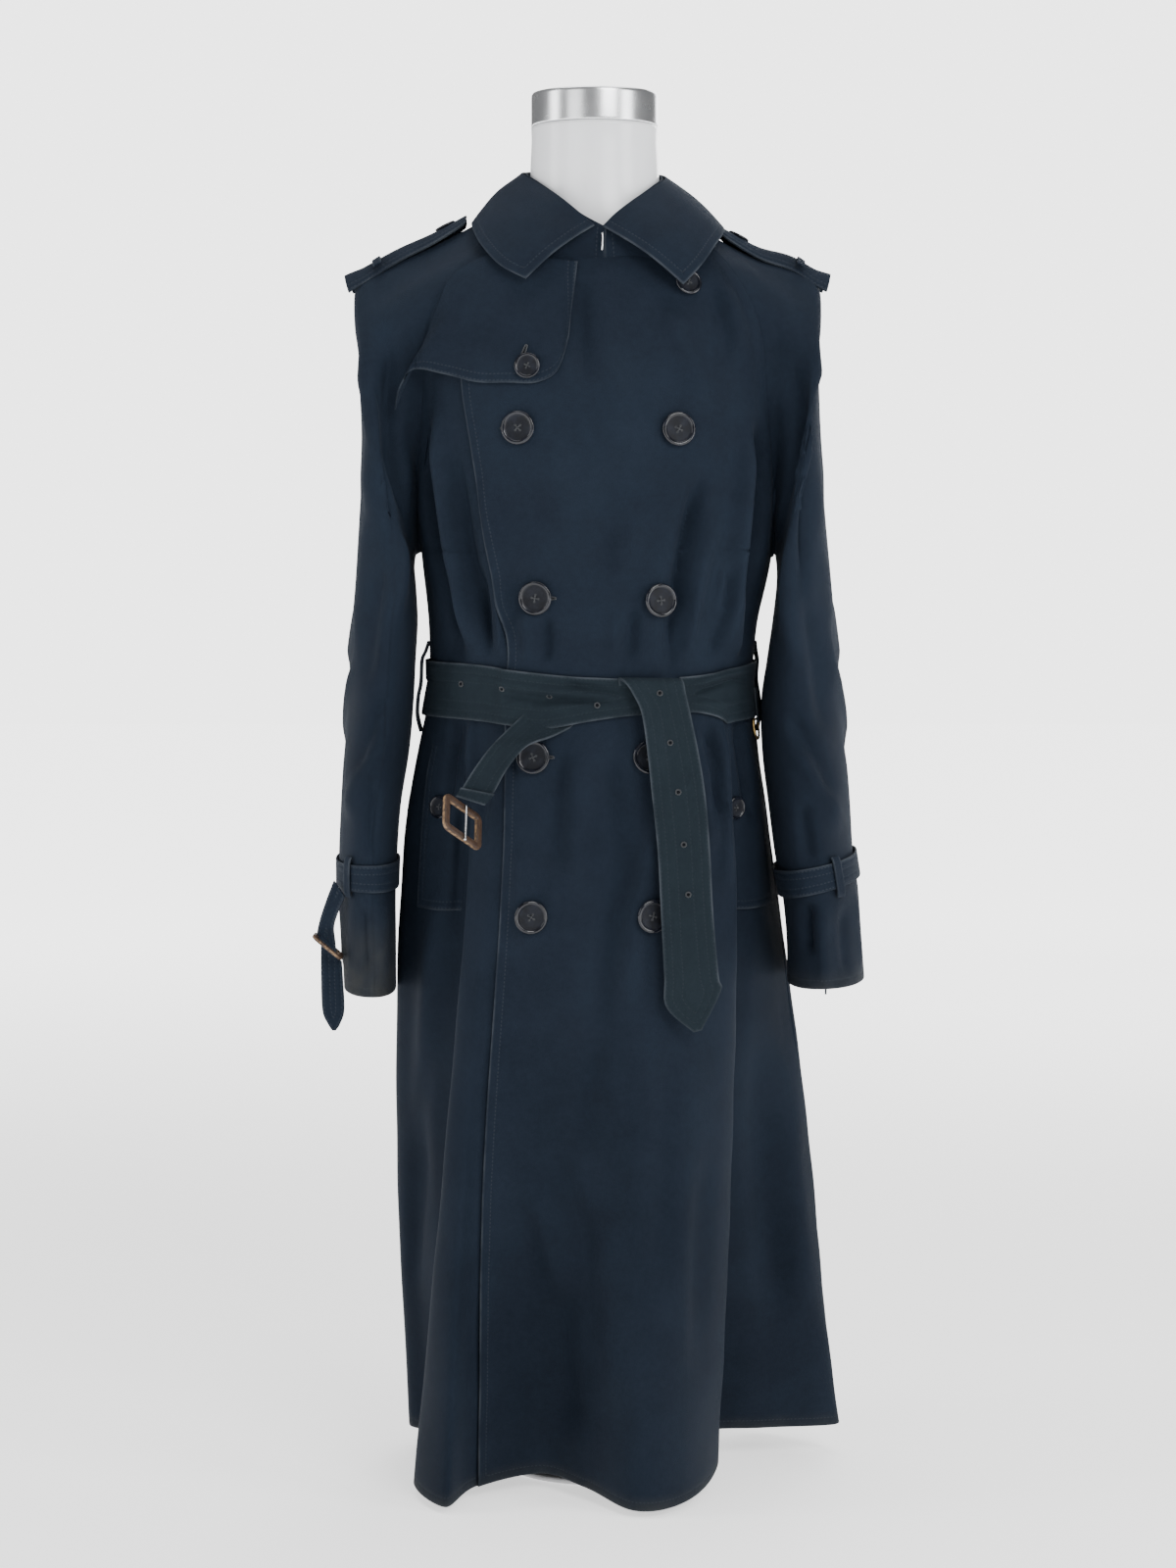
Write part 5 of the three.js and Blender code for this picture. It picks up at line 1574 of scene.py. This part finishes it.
def buttonhole(name, grid, x, z, long, lean):
    """A slit worked over with thread, laid on the cloth."""
    at, out = spot(grid, x, z)
    a = math.radians(lean)
    along = unit(np.array([math.cos(a), 0, math.sin(a)]) - out * out[0] * math.cos(a))
    up = np.cross(out, along)
    turns = np.linspace(0, TAU, 25)[:-1, None]
    line = at + along * long / 2 * np.cos(turns) + up * 1.3 * power(np.sin(turns), 0.5) + out * 0.3
    placed(wire(f"{name}_stitches", line, 0.6, 60, joined=True), None, thread)
    line = [at + along * long * k + out * 0.15 for k in (-0.45, 0, 0.45)]
    placed(wire(f"{name}_slit", line, 0.5, 12), None, hole_shade)


# name, x, height
FRONT_BUTTONS = [
    ["button_1r", -67, 970],
    ["button_1l", 73, 969],
    ["button_2r", -52, 821],
    ["button_2l", 57, 819],
    ["button_3r", -54, 681],
    ["button_3l", 48, 681],
    ["button_4r", -57, 540],
    ["button_4l", 50, 542],
]
for place, (name, x, z) in enumerate(FRONT_BUTTONS):
    at, out = spot(front, x, z)
    button(name, at + out * 0.4, out, 30, turn=17 * place)
    if x < 0:
        buttonhole(f"{name}_hole", front, x + (-4 if z > 900 else 6), z, 24, 0)
button("collar_button", chest(82, 1098, LAP - 1.4), (0.3, -0.88, 0.36), 24)
at, out = spot(flap, -59, 1024)
button("flap_button", at + out * 0.4, out, 23)
buttonhole("flap_buttonhole", flap, -63, 1034, 18, 68)
for side, x, welt in (("left", 126, welts["left"]), ("right", -139, welts["right"])):
    at, out = spot(welt, x, 632)
    button(f"pocket_button_{side}", at + out * 0.3, out, 21, turn=40)
    buttonhole(f"pocket_buttonhole_{side}", welt, x - 3, 632, 15, 0)
for side in HANDS:
    up = sleeve_out(side, 1, 9.5)
    at = off_sleeve(side, 1, 9.5, 7.8)
    button(f"epaulette_button_{side}", at + [0, 0, padding(side, at) + 3], up, 20)

# Eyelets are holes worked round with thread, in a row along the belt and down its free end.
# The belt is tied, so none of them is in use.
# x, height
EYELETS = {
    "belt": (belt_grid, [[-119, 744], [-82, 741], [-40, 735], [2, 727]]),
    "tail": (tail, [[57, 738], [66, 695], [73, 652], [78, 606], [82, 562]]),
}
for part, (grid, places) in EYELETS.items():
    for n, (x, z) in enumerate(places):
        at, out = spot(grid, x, z)
        side = unit(np.cross(UP, out))
        up = np.cross(out, side)
        turns = np.linspace(0, TAU, 13)[:-1, None]
        line = at + (side * np.cos(turns) + up * np.sin(turns)) * 2.1 + out * 0.5
        placed(wire(f"{part}_eyelet_{n}", line, 0.6, 26, joined=True), None, thread)
        disc = [(0, 0.1), (1.9, 0.1), (1.9, 0.6), (0, 0.6)]
        placed(turned(f"{part}_eyelet_{n}_dark", disc, at, out, 16), None, hole_shade)

# A pale floor that glows stands for the studio's paper, and isn't part of the object.
# Soft light comes from large lamps in front, above, behind and at both sides.
bm = bmesh.new()
bmesh.ops.create_grid(bm, x_segments=1, y_segments=1, size=12)
floor = linked("floor", meshed("floor", bm))
glowing_floor = Finish("glowing_floor", Emission_Strength=1.0)
glowing_floor.rough(0.9)
glowing_floor.colour(glowing_floor.blend(glowing_floor.noise(3.0, 2), (0.84, 0.84, 0.84), (0.86, 0.86, 0.86)))
# The floor's emission is a painted glow: faint near the form and strong far off, where it fades into the
# bright backdrop.
away = glowing_floor.node("VectorMath", {"operation": "LENGTH"}, {0: glowing_floor.place()}, "Value")
glow = glowing_floor.blend(away.ramp(0.9, 4.5), (1.0, 1.0, 1.0), (3.3, 3.3, 3.3))
glowing_floor.set(glowing_floor.shader.inputs["Emission Color"], glow)
floor.data.materials.append(glowing_floor.material)
world = bpy.data.worlds.new("studio")
bpy.context.scene.world = world
world.use_nodes = True
sky = world.node_tree.nodes
ray = sky.new("ShaderNodeLightPath")
bright = sky.new("ShaderNodeMath")
bright.operation = "MULTIPLY_ADD"
bright.inputs[1].default_value = 3.2
bright.inputs[2].default_value = 0.26
world.node_tree.links.new(ray.outputs["Is Camera Ray"], bright.inputs[0])
world.node_tree.links.new(bright.outputs[0], sky["Background"].inputs["Strength"])
sky["Background"].inputs["Color"].default_value = (1.0, 1.0, 1.0, 1)
# place, what it points at, width, height, watts
LAMPS = {
    "front_lamp": ((1.4, -2.8, 2.6), (0, 0, 0.7), 1.5, 1.5, 88),
    "fill_lamp": ((-1.9, -2.6, 1.6), (0, 0, 0.7), 1.4, 1.6, 23),
    "right_lamp": ((2.6, -1.5, 1.3), (0, 0, 0.7), 1.0, 2.0, 48),
    "left_lamp": ((-2.8, -0.6, 1.5), (0, 0, 0.7), 0.8, 2.0, 34),
    "back_lamp": ((0.8, 2.8, 2.0), (0, 0, 0.7), 1.6, 1.6, 50),
    "top_lamp": ((0, 0.2, 3.2), (0, 0, 0.9), 2.4, 2.0, 60),
}
for name, (place, target, width, height, watts) in LAMPS.items():
    lamp = bpy.data.lights.new(name, "AREA")
    lamp.shape = "RECTANGLE"
    lamp.size = width
    lamp.size_y = height
    lamp.energy = watts
    obj = linked(name, lamp)
    obj.location = place
    away = unit(np.subtract(place, target))
    obj.rotation_euler = (math.acos(away[2]), 0, math.atan2(away[0], -away[1]))

# The camera stands in front, a little to the wearer's right, and looks slightly down.
# Its focal length and the frame's height are in pixels of the photograph.
CAMERA_AT = (-0.006, -2.9, 0.873)
CAMERA_DOWN = 4.44
FOCAL_LENGTH = 3221
FRAME_HEIGHT = 1600
camera = bpy.data.cameras.new("camera")
camera.sensor_width = 36
camera.lens = camera.sensor_width * FOCAL_LENGTH / FRAME_HEIGHT
camera_object = linked("camera", camera)
camera_object.location = CAMERA_AT
camera_object.rotation_euler = (math.radians(90 - CAMERA_DOWN), 0, 0)
bpy.context.scene.camera = camera_object
